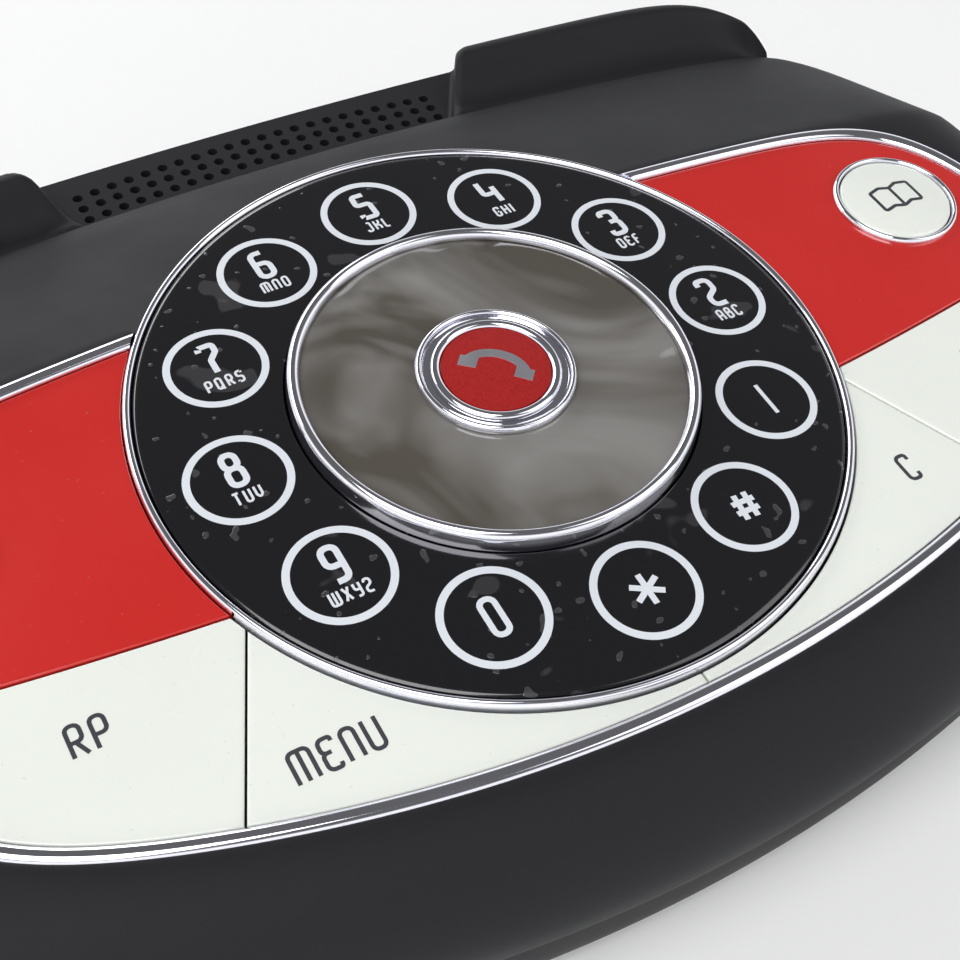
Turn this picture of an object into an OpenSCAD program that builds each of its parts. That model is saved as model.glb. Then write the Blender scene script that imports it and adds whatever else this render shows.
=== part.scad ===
/* [Overall] */
// Radius of the circle through the twelve dial key centres, which sets the scale of the face
u = 37; // [35:0.5:39]
// Lean of the face back from horizontal, in degrees
tilt = 10; // [8:1:12]
// Height of the dial centre above the table
face_h = 42.5; // [42:0.5:46]
// Distance of the dial centre behind the middle of the footprint, negative is forward
face_y = -11.6; // [-14:0.1:-9]

/* [Casing] */
// Wall of the moulded casings
wall = 2.2; // [1.8:0.1:2.6]
// Gap at the joint between two casings
seam = 0.15; // [0.1:0.05:0.3]
// Height of the rubber feet below the base
foot_h = 1.6; // [1.2:0.1:2]
// Diameter of the sound holes in the rear deck
sound_hole_d = 1.7; // [1.2:0.1:2]
// Number of sound holes in a row
sound_cols = 22; // [10:2:22]

/* [Keys] */
// Travel of the panel keys and of the round keys
key_travel = 1; // [0.6:0.1:1.1]
// Gap round each panel key
key_gap = 0.3; // [0.25:0.05:0.4]
// Travel of the hook plunger
hook_travel = 3; // [2:0.5:3.5]
// Travel of the ringer switch knob to each side of the middle
ringer_travel = 2.5; // [1.5:0.5:3]

/* [Hidden] */

// Outlines seen along the face: half width, squareness, front edge and rear edge.
// Each edge is a parabola: its place on the centre line and its bow, in units of u.
PANEL = [2.515, 13.7, [-1.434, 0.100], [0.836, -0.0317]];
HOOD = [2.88, 17, [-1.79, 0.085], [1.863, -0.034]];
DECK_HALF = 2.56;
DECK_SQUARE = 14;
DECK_REAR = [2.265, -0.018];
BAND = [-0.52, 0.033];
outline_n = 72;
// Line between an outer and an inner key, as its points on the dial and on the trim, in units of u
KEY_SPLIT = [[1.218, -0.547], [1.50, -1.172]];

// Section of the rear deck. Each point is a place and a height in units of u: the lip's places run forward
// from the rear edge, and the trough's are shares of the way from the crest to the lip
LIP = [[0, -0.56], [0.02, -0.47], [0.04, -0.38], [0.055, -0.330], [0.085, -0.302]];
TROUGH = [[1, -0.292], [0.87, -0.316], [0.68, -0.368], [0.48, -0.412], [0.28, -0.430], [0.12, -0.426]];
lip_w = 0.135;
deck_front_z = -0.44;
deck_wall_z = -0.46;
deck_stations = 18;
// Recess for the fingers: its front and back edges, and its half width in front and how fast it flares
RECESS = [1.70, 2.6];
recess_half = 0.796;
recess_flare = 0.588;
// Sound holes: spacing along and between the rows, the rearmost row, and the bow of the rows, in units of u
SOUND_GRID = [0.0822, 0.074];
sound_y = 2.148;
sound_bow = -0.0725;

// Heights on the face frame, z = 0 on the dial at the key centres
top_z = -0.03 * u;
wide_z = -0.38 * u;
part_z = -0.56 * u;
recess_z = -0.484 * u;
hood_slope = 0.344;
crest_roll = 0.027 * u;
roll_start = 0.84;
tuck = 0.04 * u;
base_tuck = 0.28 * u;

// Dial radii and the floor of its drum
dial_r = 1.322 * u;
plate_r = 1.285 * u;
inner_r = 0.755 * u;
window_r = 0.70 * u;
badge_r = 0.293 * u;
drum_low = -14.5;
drum_floor = drum_low + 1.8;
// Seat of the dial in the hood, below the key centres
dial_seat = -3.85;
dial_bore_r = 1.305 * u;
DISPLAY = [38, 28, 3.4];

// Panel keys
round_key_x = 2.05 * u;
round_key_y = 0.173 * u;
round_ring_r = 0.262 * u;
round_cap_r = 0.233 * u;

trim_w = 0.058 * u;
cap_t = 2.2;
cap_bottom = top_z - cap_t;
guide_top = cap_bottom - key_travel - 0.1;
guide_t = 1.5;
stem_bottom = guide_top - guide_t - 0.7;
membrane_top = stem_bottom - key_travel - 0.1;
key_pcb_top = membrane_top - 2;
key_pcb_t = 1.6;
frame_t = 2;
frame_z = key_pcb_top - key_pcb_t - frame_t;
stem_d = 3;

// Base, in the standing frame
floor_z = foot_h;
floor_t = 2.4;
board_z = 12;
board_t = 1.6;
board_top = board_z + board_t;
jack_z = board_top + 5.5;
inside_z = floor_z + floor_t;

// Hook switch under the handset's place, and its spring
hook_pos = [-1.42 * u, 61.3];
plunger_d = 8.4;
hook_hole_d = 9;
hook_switch_h = 4.4;
plunger_top = face_h + 0.8;
plunger_shoulder = 29;
plunger_tip = board_top + hook_switch_h + hook_travel + 0.6;
spring_r = 3;
wire_r = 0.35;
spring_low = 19.6;
spring_high = plunger_shoulder - 0.1;
spring_turns = 6;
ring_steps = 14;

// Sockets and ringer switch along the rear: middle, outer width and width of the mouth
line_x = -33;
handset_x = -13;
power_x = 6;
ringer_x = 30;
LINE_SOCKET = [13, 9.8];
HANDSET_SOCKET = [11, 7.8];
socket_l = 16;
socket_h = 11;
power_d = 8;
power_l = 14;
pin_d = 1.6;
ringer_y = jack_y(ringer_x) - wall - 0.6;
RINGER_BODY = [18, 6, 9];
RINGER_KNOB = [4, 2.2];

// Loudspeaker: middle and top on the face frame, outer length and width, and those of its cone's opening
speaker_y = 73.2;
speaker_top = recess_z - wall - 1.75;
speaker_h = 5.5;
magnet_h = 2.8;
SPEAKER = [44, 10.8];
SPEAKER_MOUTH = [39, 7.6];
mic_pos = [0, -54];
mic_d = 6;

// Battery bay
battery_w = 37;
battery_l = 52;
battery_y = 4;
cell_d = 10.4;
cell_l = 44.5;
cell_pitch = 11.6;

// Screws: shank, pilot hole, clearance hole, head and well of the casing screws, then the smaller ones
screw_d = 2.46;
pilot_d = 2.5;
clear_d = 3.4;
head_d = 5.6;
well_d = 6.4;
casing_post_d = 7.5;
base_post_d = 9;
frame_post_d = 5;
frame_pilot_d = 2;
frame_screw_d = 1.96;
frame_head_d = 4.2;
board_post_d = 7;
foot_d = 12;
foot_sink = 0.8;

screw_spots = [[-88.5, -14], [88.5, -14], [-72, 36], [72, 36]];
board_spots = [[-56, -24], [56, -24], [-56, 44], [56, 44]];
foot_spots = [[-72, -44], [72, -44], [-70, 52], [70, 52]];
// Posts for the key frame, and the places of the key stems, in units of u on the right half
POSTS = [[1.45, 0.35], [1.42, -0.45], [2.2, -0.25]];
OUTER_STEMS = [[1.62, -0.68], [1.78, -0.92], [2.12, -0.62]];
FASCIA_FEET = [[1.45, 0.55], [1.5, -0.2]];
INNER_STEMS = [[1.18, -0.90], [1.30, -1.08], [1.02, -1.12]];
ROUND_STEMS = [-5.5, 0, 5.5];

// Taller or deeper than anything it cuts
far = 60;
fine = 128;
$fn = 64;

module on_face() {
    translate([0, face_y, face_h])
        rotate([tilt, 0, 0])
            children();
}

// The opposite move, for upright parts drawn among parts of the face
module on_table() {
    rotate([-tilt, 0, 0])
        translate([0, -face_y, -face_h])
            children();
}

function stand(p) = [p[0], face_y + p[1] * cos(tilt) - p[2] * sin(tilt),
                     face_h + p[1] * sin(tilt) + p[2] * cos(tilt)];
function edge(x, c) = c[0] * u + c[1] * x * x / u;
function closing(c, p) = sqrt(max(0, 1 - pow(abs(c), p)));

// Closed outline: x runs as a cosine, and the two edges close in on each other at the ends
function outline(o, d = 0, n = outline_n) = [
    for (i = [0 : n - 1])
        let (a = 360 * i / n, x = (o[0] * u - d) * cos(a),
             front = edge(x, o[2]), rear = edge(x, o[3]), half = (rear - front) / 2 - d)
        [x, (front + rear) / 2 + sign(sin(a)) * half * closing(cos(a), o[1])]];

// Rear edge of the hood's outline at a given x
function hood_rear(x) =
    let (front = edge(x, HOOD[2]), rear = edge(x, HOOD[3]))
    (front + rear) / 2 + (rear - front) / 2 * closing(x / (HOOD[0] * u), HOOD[1]);

// Rear edge of the deck at a given x
function deck_rear(x, d = 0) =
    let (c = x / (DECK_HALF * u - d))
    abs(c) >= 1 ? -1000
    : hood_rear(x) + (edge(x, DECK_REAR) - d - hood_rear(x)) * closing(c, DECK_SQUARE);

// Footprint of the whole body: the hood's outline with the deck added at the rear
function footprint(d = 0) = [
    for (p = outline(HOOD, d))
        [p[0], p[1] > 0 ? max(p[1], deck_rear(p[0], d)) : p[1]]];

// Closed solid through rings of equal length, the first at the bottom
module loft(rings) {
    n = len(rings[0]);
    m = len(rings);
    sides = [for (j = [0 : m - 2], i = [0 : n - 1])
        let (k = (i + 1) % n)
        each [[j * n + i, (j + 1) * n + i, (j + 1) * n + k], [j * n + i, (j + 1) * n + k, j * n + k]]];
    polyhedron(points = [for (r = rings) each r],
               faces = concat([[for (i = [0 : n - 1]) i]],
                              [[for (i = [n - 1 : -1 : 0]) (m - 1) * n + i]], sides));
}

// Height of the hood before its shoulder rounds over
function hood_z(x, y) = top_z - hood_slope * max(0, y - edge(x, PANEL[3]));
function shoulder(s, n) = 1 - pow(max(0, 1 - pow(s, n)), 1 / n);

// How far a direction belongs to the crest at the rear: 0 at the front and sides, 1 along the crest
function crest(a) = let (t = min(1, max(0, (sin(a) - 0.40) / 0.22))) t * t * (3 - 2 * t);

// One ring of the hood, s = 0 at the panel and 1 at the widest outline.
// Along the crest it rolls over only in the last stretch
function hood_ring(s, d) =
    let (a = outline(PANEL, 0), b = outline(HOOD, d))
    [for (i = [0 : outline_n - 1])
        let (p = a[i] + (b[i] - a[i]) * s, turn = 360 * i / outline_n, w = crest(turn),
             n = 2 + 4 * pow(max(0, sin(turn)), 2), z = hood_z(p[0], p[1]),
             roll = crest_roll * pow(max(0, (s - roll_start) / (1 - roll_start)), 2))
        [p[0], p[1], z - (1 - w) * (z - wide_z) * shoulder(s, n) - w * roll - d * (1 - s * s)]];

module hood_solid(d, drop) {
    tucked = outline(HOOD, d + tuck);
    mid = outline(HOOD, d + tuck / 4);
    loft(concat([[for (p = tucked) [p[0], p[1], part_z - drop]]],
                [[for (p = mid) [p[0], p[1], (wide_z + part_z) / 2]]],
                [for (s = [1, 0.97, 0.88, 0.74, 0.56, 0.36, 0.16, 0]) hood_ring(s, d)]));
}

// Panel outline as a flat shape
module panel_2d(d) polygon(outline(PANEL, d));

module dial_hole(r) translate([0, 0, -far / 2]) cylinder(h = far, r = r);

// Upright posts or holes at the given places of the table frame
module uprights(spots, d, low, h) {
    for (p = spots)
        translate([p[0], p[1], low]) cylinder(h = h, d = d);
}

// Height of the joint between casings and base, measured in the standing frame
function part_height(y) = face_h + (y - face_y) * tan(tilt) + part_z / cos(tilt);

module right_and_left(spots, d, low, h) {
    for (s = [-1, 1], p = spots)
        translate([s * p[0] * u, p[1] * u, low]) cylinder(h = h, d = d);
}

module stem_spots(d, low, h) {
    right_and_left(concat(OUTER_STEMS, INNER_STEMS), d, low, h);
    for (s = [-1, 1], o = ROUND_STEMS)
        translate([s * round_key_x, round_key_y + o, low]) cylinder(h = h, d = d);
}

// Hood, rim and the sunken seat of the panel, whose floor guides the key stems
module front_shell() color("#2d2d31") difference() {
    on_face() difference() {
        hood_solid(0, 0);
        difference() {
            hood_solid(wall, 1);
            translate([0, 0, guide_top - guide_t]) linear_extrude(far) panel_2d(-0.02 * u);
            right_and_left(POSTS, frame_post_d, key_pcb_top - key_pcb_t, 10);
            on_table() uprights(screw_spots, casing_post_d, 0, far);
        }
        translate([0, 0, guide_top]) linear_extrude(far) panel_2d(0.02 * u);
        dial_hole(dial_bore_r);
        translate([0, 0, dial_seat]) cylinder(h = far, r = dial_r + 0.15, $fn = fine);
        stem_spots(stem_d + 0.4, guide_top - 5, 10);
        right_and_left(POSTS, frame_pilot_d, -far / 2, far / 2 + guide_top - 0.5);
    }
    for (p = screw_spots)
        translate([p[0], p[1], part_height(p[1]) - 10]) cylinder(h = 18, d = pilot_d);
}

// Section of the rear deck at one x: front face at the crest, a shallow trough, a lip and the rear wall
function deck_z(h, k) = (deck_front_z + (h - deck_front_z) * (h > deck_wall_z ? k : 1)) * u;

function deck_ring(x, d, low) =
    let (front = hood_rear(x) + seam + d, rear = max(deck_rear(x) - d, front + 0.02 * u),
         k = min(1, (rear - front) / (0.30 * u)), lip_y = rear - lip_w * k * u)
    concat([[x, front, low]],
           [for (p = LIP) [x, rear - p[0] * k * u, p[0] == 0 ? low : deck_z(p[1], k) - d]],
           [for (p = TROUGH) [x, front + (lip_y - front) * p[0], deck_z(p[1], k) - d]],
           [[x, front, deck_front_z * u - d]]);

module deck_block(d, low) {
    x_max = 0.997 * DECK_HALF * u - d;
    loft([for (i = [-deck_stations : deck_stations]) deck_ring(x_max * sin(90 * i / deck_stations), d, low)]);
}

module recess_plan(d) {
    polygon([for (e = [[1, 0], [1, 1], [-1, 1], [-1, 0]])
        [e[0] * ((recess_half + (RECESS[e[1]] - RECESS[0]) * recess_flare) * u + d), RECESS[e[1]] * u]]);
}

module rear_deck() color("#2d2d31") {
    difference() {
        on_face() difference() {
            deck_block(0, part_z);
            difference() {
                deck_block(wall, part_z - 1);
                translate([0, 0, recess_z - wall]) linear_extrude(far) recess_plan(wall);
            }
            translate([0, 0, recess_z]) linear_extrude(far) recess_plan(0);
            for (row = [0 : 3])
                for (i = [0 : sound_cols - 1]) {
                    x = (i - (sound_cols - 1) / 2) * SOUND_GRID[0] * u;
                    translate([x, edge(x, [sound_y - SOUND_GRID[1] * row, sound_bow]), recess_z - 5])
                        cylinder(h = 10, d = sound_hole_d, $fn = 16);
                }
        }
        uprights([hook_pos], hook_hole_d, 20, far);
    }
}

// How far the base is drawn in at level v
function base_inset(v) = tuck + (base_tuck - tuck) * (1 - pow(1 - pow(v, 3), 1 / 3));

// One level of the base: v = 0 at the joint with the casings and 1 on the underside
function base_ring(v, d, low) =
    [for (p = footprint(d + base_inset(v)))
        let (q = stand([p[0], p[1], part_z]))
        [q[0], q[1], q[2] - seam + (low - q[2]) * v]];

// Rear face of the base at a given x and height
function rear_skin(x, z) =
    let (high = stand([x, deck_rear(x), part_z])[2])
    stand([x, deck_rear(x, base_inset((high - z) / (high - floor_z))), part_z])[1];

module base_solid(d, low, lift) {
    top = base_ring(0, d, low);
    raised = lift > 0 ? [[for (q = top) [q[0], q[1], q[2] + lift]]] : [];
    loft(concat([for (v = [1, 0.94, 0.8, 0.55, 0.28, 0]) base_ring(v, d, low)], raised));
}

module base_shell() color("#29292c") {
    difference() {
        union() {
            difference() {
                base_solid(0, floor_z, 0);
                base_solid(wall, inside_z, 5);
            }
            uprights(board_spots, board_post_d, floor_z + 1, board_z - floor_z - 1);
            for (p = screw_spots)
                uprights([p], base_post_d, floor_z + 1, part_height(p[1] - base_post_d / 2) - floor_z - 1.2);
        }
        uprights(board_spots, pilot_d, inside_z + 1, far);
        uprights(screw_spots, clear_d, 0, far);
        for (p = screw_spots)
            uprights([p], well_d, 0, part_height(p[1]) - 8);
        uprights(foot_spots, foot_d + 0.2, 0, foot_h + foot_sink);
        uprights([mic_pos], 1.6, 0, 10);
        battery_opening(0);
        rear_opening(line_x, LINE_SOCKET[0] + 0.4, socket_h + 0.4);
        rear_opening(handset_x, HANDSET_SOCKET[0] + 0.4, socket_h + 0.4);
        rear_opening(ringer_x, 2 * ringer_travel + RINGER_KNOB[0] + 0.6, RINGER_KNOB[1] + 0.6);
        translate([power_x, jack_y(power_x) + 20, jack_z]) rotate([90, 0, 0])
            cylinder(h = 40, d = power_d + 0.2);
    }
}

module rear_opening(x, w, h) translate([x, jack_y(x), jack_z]) cube([w, 20, h], center = true);

// Depth at which a socket's mouth sits, just inside the sloping rear face
function jack_y(x) = min([for (e = [-5, 5]) rear_skin(x + e, jack_z - socket_h / 2)]) - 0.3;

// Mouth of the battery bay, wider by g on every side
module battery_opening(g) {
    translate([-battery_w / 2 - g, battery_y - battery_l / 2 - g, -1])
        cube([battery_w + 2 * g, battery_l + 2 * g, inside_z + 2]);
}

// Chrome bead round the panel, half round on top
module panel_trim() color("#dcdfe4") on_face() difference() {
    union() {
        translate([0, 0, -2.6]) linear_extrude(2.2) difference() {
            panel_2d(0.025 * u);
            panel_2d(0.055 * u);
        }
        translate([0, 0, top_z]) linear_extrude(0.5) difference() {
            panel_2d(0);
            panel_2d(trim_w);
        }
        translate([0, 0, top_z + 0.5]) linear_extrude(0.45) difference() {
            panel_2d(0.014 * u);
            panel_2d(0.046 * u);
        }
    }
    dial_hole(dial_r + 0.12);
}

// Everything in front of the line between the band and the keys, less a gap g
module below_band(g) {
    n = 24;
    w = 2.7 * u;
    polygon(concat([for (i = [0 : n]) let (x = -w + 2 * w * i / n) [x, edge(x, BAND) - g]],
                   [[w, -3 * u], [-w, -3 * u]]));
}

module red_fascia(side) color("#d22e25") on_face() {
    translate([0, 0, cap_bottom]) linear_extrude(cap_t) difference() {
        intersection() {
            panel_2d(trim_w + 0.02);
            translate([side * 2 * u, 0]) square([4 * u, 8 * u], center = true);
        }
        below_band(0);
        circle(r = dial_r + 0.12, $fn = fine);
        translate([side * round_key_x, round_key_y]) circle(r = round_ring_r - 0.6);
    }
    for (p = FASCIA_FEET)
        translate([side * p[0] * u, p[1] * u, guide_top]) cylinder(h = cap_bottom - guide_top + 0.5, d = 4);
}

module red_fascia_left() red_fascia(-1);
module red_fascia_right() red_fascia(1);

function split_x(y) = KEY_SPLIT[0][0] + (y / u - KEY_SPLIT[0][1])
    * (KEY_SPLIT[1][0] - KEY_SPLIT[0][0]) / (KEY_SPLIT[1][1] - KEY_SPLIT[0][1]);

module keys_2d() difference() {
    panel_2d(trim_w + key_gap);
    difference() {
        square(8 * u, center = true);
        below_band(key_gap);
    }
    circle(r = dial_r + key_gap, $fn = fine);
}

// Region beyond the split line (outer) or between it and the centre line (inner).
// Side is -1 for the left pair and 1 for the right pair
module key_region(side, outer) {
    low = -2 * u;
    high = 0.2 * u;
    polygon([for (e = [[0, high], [0, low], [1, low], [1, high]])
        let (line = split_x(e[1]) * u, near = outer ? line + key_gap / 2 : key_gap / 2,
             away = outer ? 3 * u : line - key_gap / 2)
        [side * (e[0] > 0 ? away : near), e[1]]]);
}

module stems(side, spots) {
    for (p = spots)
        translate([side * p[0] * u, p[1] * u, stem_bottom])
            cylinder(h = cap_bottom - stem_bottom + 0.5, d = stem_d);
}

module panel_key(side, outer) color("#eef0ea") on_face() {
    translate([0, 0, cap_bottom]) linear_extrude(cap_t) intersection() {
        keys_2d();
        key_region(side, outer);
    }
    stems(side, outer ? OUTER_STEMS : INNER_STEMS);
}

module redial_key() panel_key(-1, true);
module menu_key() panel_key(-1, false);
module clear_key() panel_key(1, false);
module ok_key() panel_key(1, true);

module round_ring(side) color("#dcdfe4") on_face()
    translate([side * round_key_x, round_key_y, 0])
        rotate_extrude()
            polygon([[round_cap_r + 0.15, cap_bottom], [round_ring_r - 0.62, cap_bottom],
                     [round_ring_r - 0.62, top_z + 0.02], [round_ring_r, top_z + 0.02],
                     [round_ring_r - 0.1, top_z + 0.7], [round_ring_r - 0.45, top_z + 1.0],
                     [round_cap_r + 0.45, top_z + 0.9], [round_cap_r + 0.15, top_z + 0.4]]);

module round_cap(side) color("#eef0ea") on_face()
    translate([side * round_key_x, round_key_y, 0]) {
        rotate_extrude()
            polygon([[0, cap_bottom], [round_cap_r, cap_bottom], [round_cap_r, top_z + 0.5],
                     [round_cap_r - 0.5, top_z + 0.95], [round_cap_r * 0.5, top_z + 1.25],
                     [0, top_z + 1.35]]);
        for (o = ROUND_STEMS)
            translate([0, o, stem_bottom]) cylinder(h = cap_bottom - stem_bottom + 0.5, d = stem_d);
    }

module phonebook_key_ring() round_ring(1);
module phonebook_key_cap() round_cap(1);
module speaker_key_ring() round_ring(-1);
module speaker_key_cap() round_cap(-1);

// Dial parts are turned shapes, drawn as half sections about the dial axis
module dial_housing() color("#1b1b1d") on_face() difference() {
    rotate_extrude($fn = fine)
        polygon([[0, drum_low], [1.30 * u, drum_low], [1.30 * u, -3.7], [1.275 * u, -3.7],
                 [1.275 * u, -5.6], [0.80 * u, -5.6], [0.80 * u, -5.2], [0.765 * u, -5.2],
                 [0.765 * u, -6.2], [0.72 * u, -6.2], [0.72 * u, drum_floor], [0, drum_floor]]);
    for (a = [40, 160, 280])
        rotate([0, 0, a]) translate([1.03 * u, 0, drum_low - 1]) cylinder(h = 6, d = pilot_d);
    translate([-10, -0.60 * u, drum_low - 1]) cube([20, 3, 4]);
}

module dial_outer_ring() color("#dcdfe4") on_face() rotate_extrude($fn = fine)
    polygon([[plate_r + 0.2, -3.7], [dial_r - 0.25, -3.7], [dial_r, -2.6], [dial_r, -1.3],
             [dial_r - 0.22, -0.85], [dial_r - 0.67, -0.7], [plate_r + 0.2, -0.85], [plate_r + 0.1, -1.2]]);

module dial_plate() color("#0d0d0f") on_face() rotate_extrude($fn = fine)
    polygon([[inner_r + 0.1, -1.56], [inner_r + 0.1, 0.34], [u, 0], [1.22 * u, -0.30],
             [plate_r - 0.5, -0.42], [plate_r, -0.75], [plate_r, -2.4]]);

module touch_board() color("#1f5a3a") on_face() translate([0, 0, -4.2]) linear_extrude(1.6)
    difference() {
        circle(r = 1.24 * u, $fn = fine);
        circle(r = 0.79 * u, $fn = fine);
    }

module dial_inner_ring() color("#dcdfe4") on_face() rotate_extrude($fn = fine)
    polygon([[0.735 * u, -5.2], [inner_r, -5.2], [inner_r, 2.1], [0.748 * u, 2.75], [0.732 * u, 3.15],
             [0.714 * u, 3.1], [0.702 * u, 2.6], [window_r, 1.9], [0.735 * u, 1.9]]);

// Smoked window: a shallow dome with a rim that drops inside the chrome ring
module display_lens() color("#5a544e", 0.6) on_face() rotate_extrude($fn = fine)
    polygon([[0, 0.3], [0, 2.1], [0.25 * u, 2.05], [0.45 * u, 1.93], [0.60 * u, 1.8], [0.69 * u, 1.7],
             [0.732 * u, 1.7], [0.732 * u, -4.4], [0.710 * u, -4.4], [0.710 * u, 0.1], [0.60 * u, 0.15],
             [0.30 * u, 0.25]]);

module badge_bezel() color("#d6d9de") on_face()
    rotate_extrude()
        polygon([[0, 2.12], [0.25 * u, 2.07], [badge_r - 0.6, 2.05], [badge_r, 2.3], [badge_r - 0.15, 3.0],
                 [badge_r - 0.6, 3.4], [badge_r - 1.1, 3.0], [badge_r - 2.0, 2.8], [badge_r - 2.7, 3.5],
                 [badge_r - 3.3, 3.2], [badge_r - 3.4, 2.7], [0, 2.7]]);

module badge_disc() color("#a81c22") on_face() rotate_extrude()
    polygon([[0, 2.7], [badge_r - 3.45, 2.7], [badge_r - 3.45, 3.05], [badge_r - 5, 3.3], [0, 3.5]]);

module display_frame() color("#2f3033") on_face() translate([0, 0, drum_floor]) linear_extrude(5.2)
    difference() {
        circle(r = 0.715 * u, $fn = fine);
        square([DISPLAY[0] + 0.4, DISPLAY[1] + 0.4], center = true);
    }

module display_module() color("#45504a") on_face() translate([0, 0, drum_floor]) {
    linear_extrude(DISPLAY[2]) square([DISPLAY[0], DISPLAY[1]], center = true);
    linear_extrude(DISPLAY[2] + 1.1) square([DISPLAY[0] - 4, DISPLAY[1] - 4], center = true);
}

// Plan of the frame that backs the key boards
module frame_2d() difference() {
    intersection() {
        panel_2d(0.10 * u);
        translate([0, -0.25 * u]) square([4.9 * u, 2.1 * u], center = true);
    }
    circle(r = 1.335 * u, $fn = fine);
}

module key_area_2d(side, d) difference() {
    intersection() {
        panel_2d(0.14 * u + d);
        translate([side * 1.54 * u, -0.375 * u]) square([1.48 * u, 1.95 * u], center = true);
    }
    circle(r = 1.37 * u + d, $fn = fine);
    for (p = POSTS)
        translate([side * p[0] * u, p[1] * u]) circle(d = frame_post_d + 0.6 + 2 * d);
}

module key_membrane(side) color("#8d9296") on_face() {
    translate([0, 0, key_pcb_top]) linear_extrude(0.8) key_area_2d(side, 0.4);
    round_spots = [for (o = ROUND_STEMS) [round_key_x, round_key_y + o] / u];
    for (p = concat(OUTER_STEMS, INNER_STEMS, round_spots))
        translate([side * p[0] * u, p[1] * u, key_pcb_top + 0.5])
            cylinder(h = membrane_top - key_pcb_top - 0.5, d1 = 5, d2 = 3.4);
}

module key_board(side) color("#1f5a3a") on_face()
    translate([0, 0, key_pcb_top - key_pcb_t]) linear_extrude(key_pcb_t) key_area_2d(side, 0);

module key_membrane_left() key_membrane(-1);
module key_membrane_right() key_membrane(1);
module key_board_left() key_board(-1);
module key_board_right() key_board(1);

// Moulded frame that backs the key boards and screws to the posts of the casing
module key_frame() color("#26272a") on_face() difference() {
    translate([0, 0, frame_z]) linear_extrude(frame_t) frame_2d();
    right_and_left(POSTS, frame_pilot_d + 0.4, -far / 2, far);
    on_table() uprights(screw_spots, base_post_d, 0, far);
}

module frame_screws() color("#b9bcc0") on_face() {
    right_and_left(POSTS, frame_head_d, frame_z - 1.4, 1.4);
    right_and_left(POSTS, frame_screw_d, frame_z - 0.5, 7);
}

module main_board() color("#1d6b42") difference() {
    translate([-61, -30, board_z]) cube([122, 94, board_t]);
    uprights(board_spots, 3, board_z - 1, 4);
    translate([0, 0, board_z]) battery_opening(2);
}

module main_processor() color("#18181a") translate([28, -6, board_top]) cube([14, 14, 1.4]);

module board_capacitors() color("#30445f")
    uprights([[-46, -6], [-36, -6], [-46, 8], [48, 16], [38, 16]], 6.3, board_top, 8);

module ribbon_connectors() color("#e8e4d8")
    for (x = [-40, 40])
        translate([x - 9, -24, board_top]) cube([18, 5, 4]);

module board_screws() color("#b9bcc0") {
    uprights(board_spots, 5, board_top, 1.6);
    uprights(board_spots, pilot_d, board_z - 5, 7);
}

// Flat oblong loudspeaker under the sound holes
module stadium(o, d = 0) {
    square([o[0] - o[1], o[1] - 2 * d], center = true);
    for (s = [-1, 1])
        translate([s * (o[0] - o[1]) / 2, 0]) circle(d = o[1] - 2 * d);
}

module speaker_layer(below) on_face() translate([0, speaker_y, speaker_top - below]) children();

module speaker_ring(h) linear_extrude(h) difference() {
    stadium(SPEAKER);
    stadium(SPEAKER_MOUTH);
}

module loudspeaker_gasket() color("#3b3b3b") speaker_layer(0) speaker_ring(1);
module loudspeaker_frame() color("#4a4d52") speaker_layer(speaker_h) speaker_ring(speaker_h);

module loudspeaker_cone() color("#202022") speaker_layer(2.2) {
    linear_extrude(0.6) stadium(SPEAKER_MOUTH, 0.2);
    linear_extrude(1.3) stadium([22, 4]);
}

module loudspeaker_magnet() color("#8f9297") speaker_layer(speaker_h + magnet_h) {
    linear_extrude(magnet_h) stadium([41, 8.6]);
    linear_extrude(speaker_h - 0.3) stadium([24, 5]);
}

module microphone_boot() color("#222224") difference() {
    uprights([mic_pos], mic_d + 3, inside_z, 6);
    uprights([mic_pos], mic_d, inside_z + 1.5, 6);
    uprights([mic_pos], 2, inside_z - 1, 10);
}

module microphone_capsule() color("#b4b7bb") uprights([mic_pos], mic_d, inside_z + 1.5, 4.4);

// Hook switch: the handset presses the plunger down onto the switch
module hook_plunger() color("#3a3a3e") translate([hook_pos[0], hook_pos[1], 0]) {
    rotate_extrude()
        polygon([[0, plunger_shoulder], [plunger_d / 2, plunger_shoulder],
                 [plunger_d / 2, plunger_top - 2.6], [plunger_d / 2 - 1, plunger_top - 0.8],
                 [plunger_d / 2 - 2.6, plunger_top], [0, plunger_top]]);
    translate([0, 0, plunger_tip]) cylinder(h = plunger_shoulder - plunger_tip + 1, d = 2.4);
}

module hook_guide() color("#26272a") translate([hook_pos[0], hook_pos[1], 0]) difference() {
    union() {
        translate([0, 0, 18]) cylinder(h = 15, d = plunger_d + 3);
        translate([-8.5, -6.5, board_top]) cube([17, 11.1, 5.4]);
    }
    translate([0, 0, spring_low - 0.1]) cylinder(h = 20, d = plunger_d + 0.3);
    translate([0, 0, 10]) cylinder(h = 20, d = 3.2);
    translate([-7, -3.7, board_z]) cube([14, 7.4, 6.4]);
}

// Coil spring between the guide's floor and the plunger's shoulder
module hook_spring() {
    steps = spring_turns * ring_steps;
    rings = [for (i = [0 : steps])
        let (a = 360 * i / ring_steps,
             z = spring_low + wire_r + (spring_high - spring_low - 2 * wire_r) * i / steps)
        [for (k = [0 : 5])
            let (b = 60 * k, r = spring_r + wire_r * cos(b))
            [r * cos(a), r * sin(a), z + wire_r * sin(b)]]];
    color("#c6c9cd") translate([hook_pos[0], hook_pos[1], 0]) loft(rings);
}

module hook_switch() color("#141416") translate([hook_pos[0] - 6.4, hook_pos[1] - 3.4, board_top])
    cube([12.8, 6.8, hook_switch_h]);

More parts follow.
